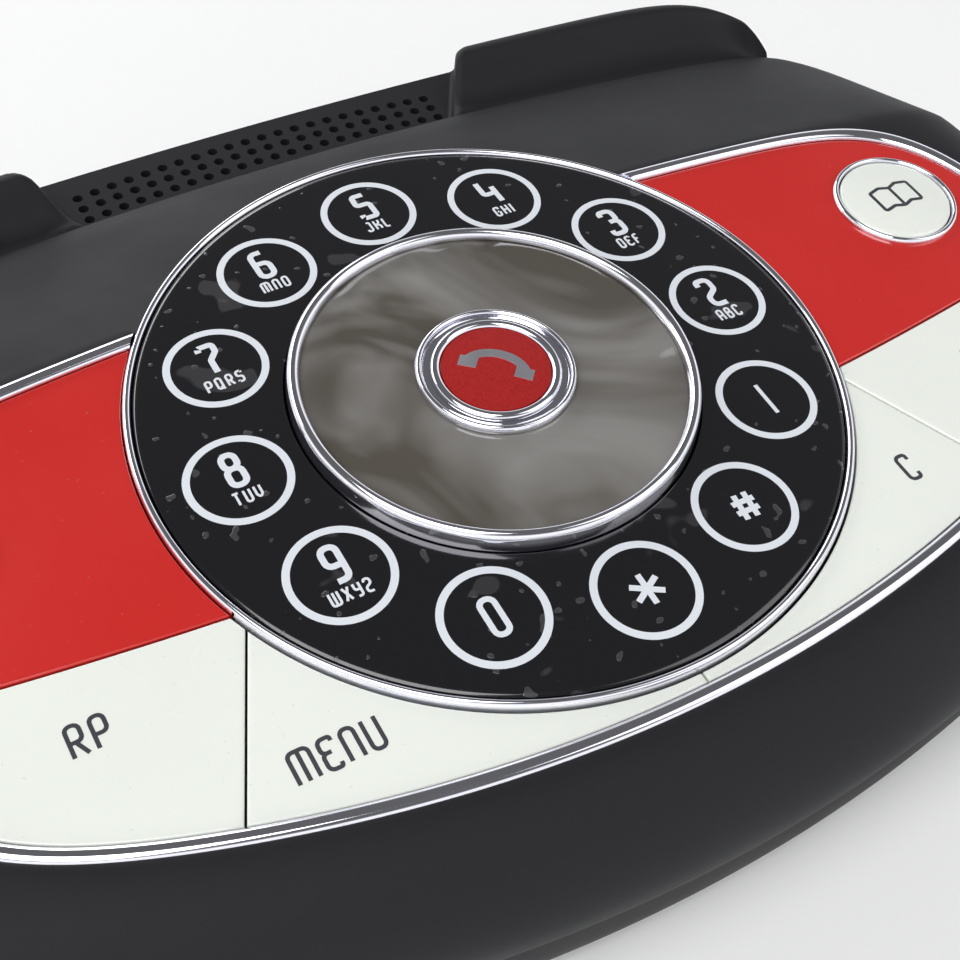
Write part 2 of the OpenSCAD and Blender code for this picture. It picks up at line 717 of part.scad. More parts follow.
// Modular socket: the plug goes in from the rear
module socket(x, o) color("#1c1c1f")
    translate([x - o[0] / 2, jack_y(x) - socket_l, jack_z - socket_h / 2]) difference() {
        cube([o[0], socket_l, socket_h]);
        translate([(o[0] - o[1]) / 2, 2.5, 2.4]) cube([o[1], far, 6.7]);
        translate([o[0] / 2 - 2, 2.5, 1]) cube([4, far, 2]);
    }

module line_jack() socket(line_x, LINE_SOCKET);
module handset_jack() socket(handset_x, HANDSET_SOCKET);

module power_jack() color("#1c1c1f") translate([power_x, jack_y(power_x), jack_z]) rotate([90, 0, 0])
    difference() {
        union() {
            cylinder(h = power_l, d = power_d);
            translate([-4.5, -5.5, 5]) cube([9, 10, power_l - 5]);
        }
        translate([0, 0, -1]) cylinder(h = 10.5, d = 5.7);
        translate([0, 0, 5]) cylinder(h = 6, d = pin_d);
    }

module power_jack_pin() color("#c9c17a") translate([power_x, jack_y(power_x) - 2, jack_z]) rotate([90, 0, 0])
    cylinder(h = 9, d = pin_d);

module ringer_switch_body() color("#2a2a2e") translate([ringer_x, ringer_y, jack_z]) difference() {
    translate([-RINGER_BODY[0] / 2, -RINGER_BODY[1], -5.5]) cube(RINGER_BODY);
    cube([2 * ringer_travel + RINGER_KNOB[0] + 0.8, 8, RINGER_KNOB[1] + 0.6], center = true);
}

module ringer_switch_knob() color("#e3e3de")
    translate([ringer_x - RINGER_KNOB[0] / 2, ringer_y - 3.8, jack_z - RINGER_KNOB[1] / 2])
        cube([RINGER_KNOB[0], 3.8 + wall + 1.2, RINGER_KNOB[1]]);

module battery_tray() color("#26272a") translate([-battery_w / 2, battery_y - battery_l / 2, 0])
    difference() {
        translate([-1.6, -1.6, inside_z]) cube([battery_w + 3.2, battery_l + 3.2, 13.2]);
        cube([battery_w, battery_l, inside_z + 11.6]);
    }

module battery_cells() color("#c47a2c")
    for (i = [-1 : 1])
        translate([i * cell_pitch, battery_y - cell_l / 2, inside_z + 5.6]) rotate([-90, 0, 0]) {
            cylinder(h = cell_l - 1.1, d = cell_d);
            cylinder(h = cell_l, d = 3.8);
        }

module battery_contacts() color("#c9ccd0")
    for (i = [-1 : 1], e = [-1, 1])
        translate([i * cell_pitch - 3.5, battery_y + e * (battery_l / 2 - 0.25) - 0.25, inside_z + 1.5])
            cube([7, 0.5, 8]);

// Door with finger grooves across one end
module battery_door() color("#29292c") difference() {
    intersection() {
        battery_opening(-0.3);
        translate([0, battery_y, floor_z + 1]) cube([battery_w, battery_l, 2], center = true);
    }
    for (i = [0 : 4])
        translate([-7, battery_y + 12 + 2 * i, floor_z - 0.4]) cube([14, 1, 0.8]);
}

module steel_ballast() color("#83878c")
    for (s = [-1, 1])
        translate([s * 37 - 13, -18, inside_z]) cube([26, 54, 3]);

module rubber_feet() color("#1a1a1a") uprights(foot_spots, foot_d, 0, foot_h + foot_sink);

module base_screws() color("#b9bcc0")
    for (p = screw_spots)
        translate([0, 0, part_height(p[1]) - 8]) {
            uprights([p], head_d, -2.4, 2.4);
            uprights([p], screw_d, -0.5, 14);
        }

front_shell();
rear_deck();
base_shell();
panel_trim();
red_fascia_left();
red_fascia_right();
redial_key();
menu_key();
clear_key();
ok_key();
phonebook_key_cap();
phonebook_key_ring();
speaker_key_cap();
speaker_key_ring();
dial_housing();
dial_outer_ring();
dial_plate();
dial_inner_ring();
display_lens();
badge_bezel();
badge_disc();
touch_board();
display_module();
display_frame();
key_membrane_left();
key_membrane_right();
key_board_left();
key_board_right();
key_frame();
main_board();
main_processor();
board_capacitors();
ribbon_connectors();
loudspeaker_frame();
loudspeaker_magnet();
loudspeaker_cone();
loudspeaker_gasket();
microphone_capsule();
microphone_boot();
hook_plunger();
hook_spring();
hook_guide();
hook_switch();
line_jack();
handset_jack();
power_jack();
power_jack_pin();
ringer_switch_body();
ringer_switch_knob();
battery_door();
battery_tray();
battery_cells();
battery_contacts();
steel_ballast();
rubber_feet();
base_screws();
board_screws();
frame_screws();
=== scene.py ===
"""Looks of a desk telephone with a round touch dial on an eye-shaped panel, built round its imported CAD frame.

Everything is in metres. Pieces of the face are drawn in the face's own frame, whose origin is the dial
centre, and FACE leans them into place. The shapes repeat the rules of the CAD source at a finer pitch."""

import math

import bmesh
import bpy
from mathutils import Matrix, Vector
from mathutils.geometry import delaunay_2d_cdt
from mathutils.kdtree import KDTree


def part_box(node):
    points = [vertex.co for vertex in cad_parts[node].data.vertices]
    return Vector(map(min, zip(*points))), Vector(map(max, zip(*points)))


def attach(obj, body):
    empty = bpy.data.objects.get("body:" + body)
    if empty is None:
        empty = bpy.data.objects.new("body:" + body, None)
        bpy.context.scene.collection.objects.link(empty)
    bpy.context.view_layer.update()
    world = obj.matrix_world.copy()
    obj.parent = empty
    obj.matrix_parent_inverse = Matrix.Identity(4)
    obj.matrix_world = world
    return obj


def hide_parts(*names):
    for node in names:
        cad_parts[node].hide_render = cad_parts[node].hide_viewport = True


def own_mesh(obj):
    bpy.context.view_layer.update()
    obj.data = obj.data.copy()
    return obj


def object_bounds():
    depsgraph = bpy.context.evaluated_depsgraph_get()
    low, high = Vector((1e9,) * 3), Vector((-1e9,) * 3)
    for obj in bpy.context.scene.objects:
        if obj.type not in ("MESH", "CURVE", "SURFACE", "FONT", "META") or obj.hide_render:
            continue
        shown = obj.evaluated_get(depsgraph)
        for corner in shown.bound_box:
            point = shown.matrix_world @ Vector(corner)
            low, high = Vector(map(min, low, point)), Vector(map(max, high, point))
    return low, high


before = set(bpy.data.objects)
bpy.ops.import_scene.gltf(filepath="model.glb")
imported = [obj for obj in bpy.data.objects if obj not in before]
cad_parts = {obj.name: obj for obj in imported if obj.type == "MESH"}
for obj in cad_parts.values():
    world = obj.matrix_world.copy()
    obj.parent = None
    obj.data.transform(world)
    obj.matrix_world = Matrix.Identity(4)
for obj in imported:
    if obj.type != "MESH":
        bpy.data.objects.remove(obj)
CAD_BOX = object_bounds()
BASE = "phone_base"

# ---- driving values, as in the CAD source
MM = 0.001
U = 37 * MM
TILT = math.radians(10)
FACE_Y, FACE_H = -11.6 * MM, 42.5 * MM
FACE = Matrix.Translation((0, FACE_Y, FACE_H)) @ Matrix.Rotation(TILT, 4, "X")
WALL, SEAM, KEY_GAP = 2.2 * MM, 0.15 * MM, 0.3 * MM

PANEL = dict(half=2.515, square=13.7, front=(-1.434, 0.100), rear=(0.836, -0.0317))
HOOD = dict(half=2.88, square=17, front=(-1.79, 0.085), rear=(1.863, -0.034))
DECK_HALF, DECK_SQUARE, DECK_REAR = 2.56, 14, (2.265, -0.018)
BAND = (-0.52, 0.033)
TOP_Z, WIDE_Z, PART_Z, RECESS_Z = -0.03 * U, -0.38 * U, -0.56 * U, -0.484 * U
HOOD_SLOPE = 0.344
CREST_ROLL, ROLL_START = 0.027 * U, 0.84
TUCK, BASE_TUCK = 0.04 * U, 0.28 * U
DIAL_R, PLATE_R, INNER_R, BADGE_R = 1.322 * U, 1.285 * U, 0.755 * U, 0.293 * U
ROUND_KEY = (2.05 * U, 0.173 * U)
RING_R, CAP_R = 0.262 * U, 0.233 * U
CAP_LOW = TOP_Z - 2.2 * MM
GUIDE_TOP = CAP_LOW - 1.1 * MM
GUIDE_T = 1.5 * MM
STEM_LOW = GUIDE_TOP - GUIDE_T - 0.7 * MM
STEM_TOP, STEM_R = CAP_LOW + 0.5 * MM, 1.5 * MM
TRIM_W = 0.058 * U
SPLIT = ((1.218, -0.547), (1.50, -1.172))
OUTER_STEMS = ((1.62, -0.68), (1.78, -0.92), (2.12, -0.62))
INNER_STEMS = ((1.18, -0.90), (1.30, -1.08), (1.02, -1.12))
SCREW_SPOTS = [(x * MM, y * MM) for x, y in ((-88.5, -14), (88.5, -14), (-72, 36), (72, 36))]
BOARD_SPOTS = [(x * MM, y * MM) for x, y in ((-56, -24), (56, -24), (-56, 44), (56, 44))]
FOOT_SPOTS = [(x * MM, y * MM) for x, y in ((-72, -44), (72, -44), (-70, 52), (70, 52))]
PLUNGER_SPOT = (-1.42 * U, 61.3 * MM)
PILOT_R, SHELL_BOSS_R, BASE_BOSS_R, BOARD_POST_R = 1.25 * MM, 3.75 * MM, 4.5 * MM, 3.5 * MM
WELL_R, CLEAR_R, FOOT_WELL_R = 3.2 * MM, 1.7 * MM, 6.1 * MM
DIAL_HOLE, DRUM_R = DIAL_R + 0.12 * MM, 1.305 * U
FLOOR_Z, FLOOR_T = 1.6 * MM, 2.4 * MM
SOUND_COLS, SOUND_ROWS, SOUND_R = 22, 4, 0.85 * MM
PANEL_FINE, RING_FINE = 288, 320
BELOW, ABOVE, FAR = -1 * MM, 20 * MM, 60 * MM


# ---- curves and outlines
def edge(x, c):
    return c[0] * U + c[1] * x * x / U


def closing(c, p):
    return math.sqrt(max(0.0, 1 - abs(c) ** p))


def outline(o, d=0.0, n=288):
    """Closed outline: x runs as a cosine, and the two edges close in on each other at the ends."""
    points = []
    for i in range(n):
        a = 2 * math.pi * i / n
        x = (o["half"] * U - d) * math.cos(a)
        front, rear = edge(x, o["front"]), edge(x, o["rear"])
        side = 0 if i in (0, n // 2) else math.copysign(1, math.sin(a))
        reach = ((rear - front) / 2 - d) * closing(math.cos(a), o["square"])
        points.append((x, (front + rear) / 2 + side * reach))
    return points


def hood_rear(x):
    front, rear = edge(x, HOOD["front"]), edge(x, HOOD["rear"])
    return (front + rear) / 2 + (rear - front) / 2 * closing(x / (HOOD["half"] * U), HOOD["square"])


def deck_rear(x, d=0.0):
    c = x / (DECK_HALF * U - d)
    if abs(c) >= 1:
        return -1.0
    return hood_rear(x) + (edge(x, DECK_REAR) - d - hood_rear(x)) * closing(c, DECK_SQUARE)


def footprint(d, n):
    return [(x, max(y, deck_rear(x, d)) if y > 0 else y) for x, y in outline(HOOD, d, n)]


def smooth_line(points, steps):
    """Catmull-Rom curve through 2D points."""
    def between(a, b, c, d, t):
        slope, bow = (c - a) * t, (2 * a - 5 * b + 4 * c - d) * t * t
        return 0.5 * (2 * b + slope + bow + (3 * b - a - 3 * c + d) * t ** 3)
    out = []
    for i in range(len(points) - 1):
        near = [points[min(max(i + k, 0), len(points) - 1)] for k in (-1, 0, 1, 2)]
        out += [tuple(between(*axis, k / steps) for axis in zip(*near)) for k in range(steps)]
    return out + [tuple(points[-1])]


def rounded(corners, closed=True, steps=5):
    """Polyline of (x, y, radius) corners with each corner turned into an arc."""
    out = []
    n = len(corners)
    for i, (x, y, r) in enumerate(corners):
        p = Vector((x, y))
        if r <= 0 or (not closed and i in (0, n - 1)):
            out.append((x, y))
            continue
        before, after = Vector(corners[i - 1][:2]) - p, Vector(corners[(i + 1) % n][:2]) - p
        half = before.angle(after) / 2
        reach = min(r / math.tan(half), 0.49 * before.length, 0.49 * after.length)
        r = reach * math.tan(half)
        before.normalize()
        after.normalize()
        centre = p + (before + after).normalized() * (r / math.sin(half))
        a, b = p + before * reach - centre, p + after * reach - centre
        turn = a.angle_signed(b)
        for k in range(steps + 1):
            s = a.copy()
            s.rotate(Matrix.Rotation(-turn * k / steps, 2))
            out.append(tuple(centre + s))
    return out


def quarter(steps):
    """Angles from 0 to a right angle."""
    return [math.pi / 2 * k / steps for k in range(steps + 1)]


def bead(r_in, r_out, z, height, steps=14):
    """Half-round top from the outer radius to the inner one, as (r, z) points."""
    mid, half = (r_in + r_out) / 2, (r_out - r_in) / 2
    return [(mid + half * math.cos(math.pi * k / steps), z + height * math.sin(math.pi * k / steps))
            for k in range(steps + 1)]


# ---- meshes
def piece(name, verts, faces, on_face=True):
    mesh = bpy.data.meshes.new(name)
    mesh.from_pydata([tuple(v) for v in verts], [], faces)
    if on_face:
        mesh.transform(FACE)
    bm = bmesh.new()
    bm.from_mesh(mesh)
    bmesh.ops.recalc_face_normals(bm, faces=bm.faces)
    bm.to_mesh(mesh)
    bm.free()
    obj = bpy.data.objects.new(name, mesh)
    bpy.context.scene.collection.objects.link(obj)
    return obj


def loft(rings, closed=False):
    """Vertices and faces of a skin through rings of equal length, capped unless it closes on itself."""
    n, m = len(rings[0]), len(rings)
    faces = [(j * n + i, j * n + (i + 1) % n, (j + 1) % m * n + (i + 1) % n, (j + 1) % m * n + i)
             for j in range(m if closed else m - 1) for i in range(n)]
    if not closed:
        faces += [tuple(range(n - 1, -1, -1)), tuple(range((m - 1) * n, m * n))]
    return [p for ring in rings for p in ring], faces


def prism(points, low, high):
    return loft([[(x, y, z) for x, y in points] for z in (low, high)])


def circle(x, y, r, n=48):
    return [(x + r * math.cos(2 * math.pi * i / n), y + r * math.sin(2 * math.pi * i / n)) for i in range(n)]


def box_points(x0, x1, y0, y1):
    return [(x0, y0), (x1, y0), (x1, y1), (x0, y1)]


def post(at, r, low, high, n=32):
    return prism(circle(*at, r, n), low, high)


def several(parts):
    """One vertex and face list from several."""
    verts, faces = [], []
    for v, f in parts:
        faces += [tuple(i + len(verts) for i in face) for face in f]
        verts += v
    return verts, faces


def turned(name, profile, at=(0, 0), n=192, on_face=True):
    """Closed (r, z) profile turned about an upright axis at a point."""
    verts, index, faces = [], [], []
    for r, z in profile:
        if r < 1e-9:
            index.append([len(verts)] * n)
            verts.append((*at, z))
        else:
            index.append(list(range(len(verts), len(verts) + n)))
            verts += [(x, y, z) for x, y in circle(*at, r, n)]
    for j in range(len(profile)):
        a, b = index[j], index[(j + 1) % len(profile)]
        for i in range(n):
            k = (i + 1) % n
            corners = list(dict.fromkeys((a[i], a[k], b[k], b[i])))
            if len(corners) > 2:
                faces.append(tuple(corners))
    return piece(name, verts, faces, on_face)


def carve(target, tool, operation="DIFFERENCE"):
    """Cuts one closed solid with another, or joins them, and deletes the tool."""
    cut = target.modifiers.new("carve", "BOOLEAN")
    cut.operation, cut.solver, cut.object = operation, "MANIFOLD", tool
    bpy.context.view_layer.update()
    mesh = bpy.data.meshes.new_from_object(target.evaluated_get(bpy.context.evaluated_depsgraph_get()))
    target.modifiers.clear()
    target.data = mesh
    bpy.data.objects.remove(tool)
    return target


def cut(target, parts, on_face=True, operation="DIFFERENCE"):
    """Carves with several closed solids at once."""
    return carve(target, piece("tool", *several(parts), on_face=on_face), operation)


def smooth(obj, angle=32):
    """Smooth shading with sharp edges kept, and normals that favour the large faces."""
    obj.data.shade_smooth()
    obj.data.set_sharp_from_angle(angle=math.radians(angle))
    even = obj.modifiers.new("even_normals", "WEIGHTED_NORMAL")
    even.keep_sharp = True
    even.mode = "FACE_AREA_WITH_ANGLE"
    return obj


def dress(obj, mat, body, slot, *replaced):
    """Gives a finished piece its material and body, and hides the CAD nodes it stands for. The slot argument is
    not used.
    """
    obj.data.materials.clear()
    obj.data.materials.append(mat)
    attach(obj, body)
    if replaced:
        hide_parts(*replaced)
    return obj


# ---- flat regions filled with triangles
def region(curves, keep, spacing=0.0):
    """Triangles between curves whose centre keep() accepts, with inner points every spacing."""
    verts, edges = [], []
    for curve in curves:
        edges += [(len(verts) + i, len(verts) + i + 1) for i in range(len(curve) - 1)]
        verts += [Vector(p) for p in curve]
    if spacing:
        tree = KDTree(len(verts))
        for i, v in enumerate(verts):
            tree.insert((v.x, v.y, 0), i)
        tree.balance()
        x0, x1 = min(v.x for v in verts), max(v.x for v in verts)
        y0, y1 = min(v.y for v in verts), max(v.y for v in verts)
        for i in range(int((x1 - x0) / spacing)):
            for j in range(int((y1 - y0) / spacing)):
                p = Vector((x0 + (i + 0.5) * spacing, y0 + (j + 0.25 + 0.5 * (i % 2)) * spacing))
                if keep(p.x, p.y) and tree.find((p.x, p.y, 0))[2] > 0.7 * spacing:
                    verts.append(p)
    out = delaunay_2d_cdt(verts, edges, [], 0, 1e-7)
    points = [tuple(v) for v in out[0]]
    tris = []
    for f in out[2]:
        if len(f) == 3 and keep(sum(points[i][0] for i in f) / 3, sum(points[i][1] for i in f) / 3):
            tris.append(tuple(f))
    return points, tris


def rims(tris):
    """Ordered boundary loops of a triangle list, with the region on the left."""
    edges = {(f[k], f[(k + 1) % 3]) for f in tris for k in range(3)}
    onward = {a: b for a, b in edges if (b, a) not in edges}
    loops = []
    while onward:
        start, here = onward.popitem()
        loop = [start]
        while here != start:
            loop.append(here)
            here = onward.pop(here)
        loops.append(loop)
    return loops


def ringed(loop):
    return loop + loop[:1]


def thinned(loop, least):
    out = []
    for p in loop:
        if not out or math.dist(p, out[-1]) > least:
            out.append(p)
    return out if math.dist(out[0], out[-1]) > least else out[:-1]


def eased(loop, reach):
    """Drops the points that crowd a corner, so that a mitred inset doesn't fold there."""
    def turn(i):
        a = Vector(loop[i]) - Vector(loop[i - 1])
        b = Vector(loop[(i + 1) % len(loop)]) - Vector(loop[i])
        return abs(a.angle(b))
    corners = [loop[i] for i in range(len(loop)) if turn(i) > math.radians(30)]
    return [p for p in loop if all(p == c or math.dist(p, c) > reach for c in corners)]


def inset(loop, d):
    """Moves a loop to its left by d, with mitred corners."""
    out = []
    for i, p in enumerate(loop):
        a, b = Vector(p) - Vector(loop[i - 1]), Vector(loop[(i + 1) % len(loop)]) - Vector(p)
        na, nb = Vector((-a.y, a.x)).normalized(), Vector((-b.y, b.x)).normalized()
        out.append(tuple(Vector(p) + (na + nb) * (d / max(1 + na.dot(nb), 0.4))))
    return out


def inside(loops):
    """Test for a point within loops, holes left out."""
    segments = [(loop[i - 1], loop[i]) for loop in loops for i in range(len(loop))]

    def test(x, y):
        odd = False
        for (x0, y0), (x1, y1) in segments:
            if (y0 > y) != (y1 > y) and x < x0 + (y - y0) * (x1 - x0) / (y1 - y0):
                odd = not odd
        return odd
    return test


def plate(name, curves, keep, low, top, edge_r):
    """Flat moulding between curves, with rounded upper edges. top(x, y) is the height of its upper face."""
    points, tris = region(curves, keep)
    loops = [eased(thinned([points[i] for i in loop], 0.02 * MM), 2.2 * edge_r) for loop in rims(tris)]
    levels = [(0.0, None), (0.0, edge_r)]
    levels += [(edge_r * (1 - math.cos(a)), edge_r * (1 - math.sin(a))) for a in quarter(4)[1:]]
    verts, faces = [], []
    for loop in loops:
        rings = []
        for d, drop in levels:
            ring = inset(loop, d)
            rings.append([(x, y, low if drop is None else top(x, y) - drop) for x, y in ring])
        v, f = loft(rings)
        faces += [tuple(i + len(verts) for i in face) for face in f[:-2]]
        verts += v
    for d, flat, pitch in ((edge_r, False, 2.5 * MM), (0.0, True, 0.0)):
        shape = [inset(loop, d) for loop in loops]
        v, f = region([ringed(ring) for ring in shape], inside(shape), pitch)
        faces += [tuple(i + len(verts) for i in face) for face in f]
        verts += [(x, y, low if flat else top(x, y)) for x, y in v]
    obj = piece(name, verts, faces)
    bm = bmesh.new()
    bm.from_mesh(obj.data)
    bmesh.ops.remove_doubles(bm, verts=bm.verts, dist=3e-6)
    bmesh.ops.recalc_face_normals(bm, faces=bm.faces)
    bm.to_mesh(obj.data)
    bm.free()
    return obj


# ---- printed figures, drawn as strokes
# Strokes of each figure, from x,y corners in hundredths of its height
GLYPHS = {
    "0": "0,0 38,0 38,100 0,100 0,0",
    "1": "0,0 0,100",
    "2": "0,80 0,100 42,100 42,58 6,34 6,0 48,0",
    "3": "0,82 0,100 42,100 42,54 14,54 / 14,54 44,54 44,0 0,0 0,18",
    "4": "0,100 0,42 40,42 / 40,70 40,0",
    "5": "42,100 5,100 2,58 44,58 44,0 0,0 0,16",
    "6": "36,100 0,100 0,0 42,0 42,56 2,56",
    "7": "0,84 0,100 44,100 44,72 20,46 20,0",
    "8": "2,54 40,54 40,100 2,100 2,54 / 0,0 42,0 42,54 0,54 0,0",
    "9": "40,44 0,44 0,100 42,100 42,0 6,0",
    "*": "42,6 42,94 / 4,28 80,72 / 4,72 80,28",
    "#": "20,12 26,88 / 50,12 56,88 / 4,36 70,36 / 6,64 72,64",
    "A": "0,0 0,100 40,100 40,0 / 0,44 40,44",
    "B": "0,0 0,100 36,100 36,54 0,54 / 20,54 40,54 40,0 0,0",
    "C": "40,78 40,100 0,100 0,0 40,0 40,22",
    "D": "0,0 0,100 40,100 40,0 0,0",
    "E": "40,86 40,100 0,100 0,54 28,54 / 28,54 0,54 0,0 40,0 40,14",
    "F": "0,0 0,100 36,100 / 0,54 28,54",
    "G": "40,78 40,100 0,100 0,0 40,0 40,50 22,50",
    "H": "0,0 0,100 / 40,0 40,100 / 0,52 40,52",
    "I": "0,0 0,100",
    "J": "0,22 0,0 36,0 36,100 12,100",
    "K": "0,0 0,100 / 38,100 38,66 0,50 / 4,52 40,40 40,0",
    "L": "0,100 0,0 34,0",
    "M": "0,0 0,100 62,100 62,0 / 31,100 31,0",
    "N": "0,0 0,100 40,100 40,0",
    "O": "0,0 40,0 40,100 0,100 0,0",
    "P": "0,0 0,100 40,100 40,44 0,44",
    "Q": "0,0 40,0 40,100 0,100 0,0 / 24,22 46,-10",
    "R": "0,0 0,100 40,100 40,46 0,46 / 18,46 42,0",
    "S": "40,82 40,100 0,100 0,54 40,48 40,0 0,0 0,18",
    "T": "0,100 44,100 / 22,100 22,0",
    "U": "0,100 0,0 40,0 40,100",
    "V": "0,100 0,30 20,0 40,30 40,100",
    "W": "0,100 0,0 62,0 62,100 / 31,0 31,100",
    "X": "0,100 42,0 / 0,0 42,100",
    "Y": "0,100 0,50 40,50 / 40,100 40,0 6,0",
    "Z": "0,80 0,100 40,100 40,60 0,36 0,0 40,0",
}
CORNER = 0.17
SQUARER = {"4": 0.08, "5": 0.04, "7": 0.05, "1": 0.05}


def strip(points, width, closed):
    """Quads of a ribbon along a polyline, as lists of four 2D points."""
    n = len(points)
    left, right = [], []
    for i in range(n):
        a = Vector(points[i]) - Vector(points[i - 1]) if closed or i > 0 else None
        b = Vector(points[(i + 1) % n]) - Vector(points[i]) if closed or i < n - 1 else None
        a, b = (a or b).normalized(), (b or a).normalized()
        across = Vector((-(a + b).y, (a + b).x)) * (width / 2 / max(1 + a.dot(b), 0.3))
        left.append(Vector(points[i]) + across)
        right.append(Vector(points[i]) - across)
    last = n if closed else n - 1
    return [(right[i], right[(i + 1) % n], left[(i + 1) % n], left[i]) for i in range(last)]


def glyph(char):
    return [[tuple(int(v) / 100 for v in corner.split(",")) for corner in stroke.split()]
            for stroke in GLYPHS[char].split("/")]


def lettering(text, height, weight, at, gap=0.20, aspect=1.0):
    """Ribbons of a word centred on a point. The gap between letters is a share of the height."""
    thick = weight * height
    scale = height - thick
    advance = 0.0
    strokes = []
    for char in text:
        wide = max(x for stroke in glyph(char) for x, _ in stroke)
        bend = max(SQUARER.get(char, CORNER) * scale, 0.55 * thick)
        for stroke in glyph(char):
            strokes.append([(advance + x * scale * aspect, y * scale, bend) for x, y in stroke])
        advance += wide * scale * aspect + thick + gap * height
    width = advance - thick - gap * height
    quads = []
    for stroke in strokes:
        closed = stroke[0] == stroke[-1]
        corners = [(x - width / 2 + at[0], y - scale / 2 + at[1], bend)
                   for x, y, bend in (stroke[:-1] if closed else stroke)]
        quads += strip(thinned(rounded(corners, closed, 4), 0.02 * MM), thick, closed)
    return quads


def within(quads):
    """Test for a point inside any of many small convex quads."""
    centres = [sum((Vector(p) for p in quad), Vector((0, 0))) / 4 for quad in quads]
    reach = max((Vector(p) - c).length for quad, c in zip(quads, centres) for p in quad)
    tree = KDTree(len(quads))
    for i, c in enumerate(centres):
        tree.insert((c.x, c.y, 0), i)
    tree.balance()

    def test(x, y):
        for _, i, _ in tree.find_range((x, y, 0), reach):
            quad = quads[i]
            if all((quad[k][0] - quad[k - 1][0]) * (y - quad[k - 1][1])
                   >= (quad[k][1] - quad[k - 1][1]) * (x - quad[k - 1][0]) for k in range(4)):
                return True
        return False
    return test


def ink(name, quads, surface, mat, body, slot, thickness=0.035 * MM):
    """Closed thin film of print over a surface(x, y), from ribbon quads that may overlap."""
    verts, faces = [], []
    for quad in quads:
        faces.append([len(verts) + k for k in range(4)])
        verts += list(quad)
    edges = [(f[k], f[(k + 1) % 4]) for f in faces for k in range(4)]
    out = delaunay_2d_cdt(verts, edges, [], 0, 1e-7)
    points = [tuple(v) for v in out[0]]
    covered = within(quads)
    tris = [tuple(f) for f in out[2]
            if covered(sum(points[i][0] for i in f) / 3, sum(points[i][1] for i in f) / 3)]
    used = sorted({i for f in tris for i in f})
    place = {v: k for k, v in enumerate(used)}
    n = len(used)
    upper = [(points[i][0], points[i][1], surface(*points[i]) + thickness) for i in used]
    lower = [(x, y, z - 2 * thickness) for x, y, z in upper]
    top = [tuple(place[i] for i in f) for f in tris]
    edges = {(f[k], f[(k + 1) % 3]) for f in top for k in range(3)}
    walls = [(a, a + n, b + n, b) for a, b in edges if (b, a) not in edges]
    obj = piece(name, upper + lower, top + [tuple(i + n for i in reversed(f)) for f in top] + walls)
    return dress(obj, mat, body, slot)


# ---- materials
def material(name, colour, roughness, metallic=0.0, coat=0.0, coat_rough=0.03, specular=0.5, sheen=0.0):
    """Principled material, returned with its node tree and shader for detail to be added."""
    mat = bpy.data.materials.new(name)
    mat.use_nodes = True
    tree = mat.node_tree
    shader = next(n for n in tree.nodes if n.type == "BSDF_PRINCIPLED")
    shader.inputs["Base Color"].default_value = (*colour, 1)
    shader.inputs["Roughness"].default_value = roughness
    shader.inputs["Metallic"].default_value = metallic
    shader.inputs["Coat Weight"].default_value = coat
    shader.inputs["Coat Roughness"].default_value = coat_rough
    shader.inputs["Specular IOR Level"].default_value = specular
    shader.inputs["Sheen Weight"].default_value = sheen
    shader.inputs["Sheen Roughness"].default_value = 0.5
    return mat, tree, shader


def texture(tree, scale, kind="ShaderNodeTexNoise", output="Fac", **values):
    """Output of a texture in object space, with features about 1/scale metres apart."""
    coordinates = tree.nodes.new("ShaderNodeTexCoord")
    node = tree.nodes.new(kind)
    tree.links.new(coordinates.outputs["Object"], node.inputs["Vector"])
    node.inputs["Scale"].default_value = scale
    for key, value in values.items():
        node.inputs[key].default_value = value
    return node.outputs[output]


def spread(tree, source, low, high, start=0.0, end=1.0):
    """Maps a texture's value from start..end to low..high."""
    node = tree.nodes.new("ShaderNodeMapRange")
    node.inputs["From Min"].default_value = start
    node.inputs["From Max"].default_value = end
    node.inputs["To Min"].default_value = low
    node.inputs["To Max"].default_value = high
    tree.links.new(source, node.inputs["Value"])
    return node.outputs["Result"]


def blended(tree, factor, first, second):
    """Colour that goes from first to second with factor. Either may be a colour or an output."""
    node = tree.nodes.new("ShaderNodeMix")
    node.data_type = "RGBA"
    tree.links.new(factor, node.inputs["Factor"])
    for socket, value in ((node.inputs[6], first), (node.inputs[7], second)):
        if isinstance(value, tuple):
            socket.default_value = (*value, 1)
        else:
            tree.links.new(value, socket)
    return node.outputs[2]


def relief(tree, shader, height, distance, coat=False, base=None):
    """Bump from a height output, which may be stacked on an earlier one."""
    node = tree.nodes.new("ShaderNodeBump")
    node.inputs["Distance"].default_value = distance
    node.inputs["Strength"].default_value = 1.0
    tree.links.new(height, node.inputs["Height"])
    if base is not None:
        tree.links.new(base, node.inputs["Normal"])
    tree.links.new(node.outputs["Normal"], shader.inputs["Normal"])
    if coat:
        tree.links.new(node.outputs["Normal"], shader.inputs["Coat Normal"])
    return node.outputs["Normal"]


def tones(colour, vary):
    """A darker and a lighter tone of a colour."""
    return tuple(c * (1 - vary) for c in colour), tuple(min(1, c * (1 + vary)) for c in colour)


def moulded(name, colour, roughness, grain=2600, depth=0.012, vary=0.12, sheen=0.0, specular=0.5):
    """Matt moulded plastic or rubber paint: fine grain, slow patches of wear and tone."""
    mat, tree, shader = material(name, colour, roughness, sheen=sheen, specular=specular)
    patches = texture(tree, 38, Detail=4.0, Roughness=0.6)
    tree.links.new(blended(tree, patches, *tones(colour, vary)), shader.inputs["Base Color"])
    tree.links.new(spread(tree, patches, roughness - 0.06, roughness + 0.06, 0.3, 0.7),
                   shader.inputs["Roughness"])
    fine = texture(tree, grain, Detail=2.0, Roughness=0.6)
    relief(tree, shader, fine, depth * MM)
    return mat


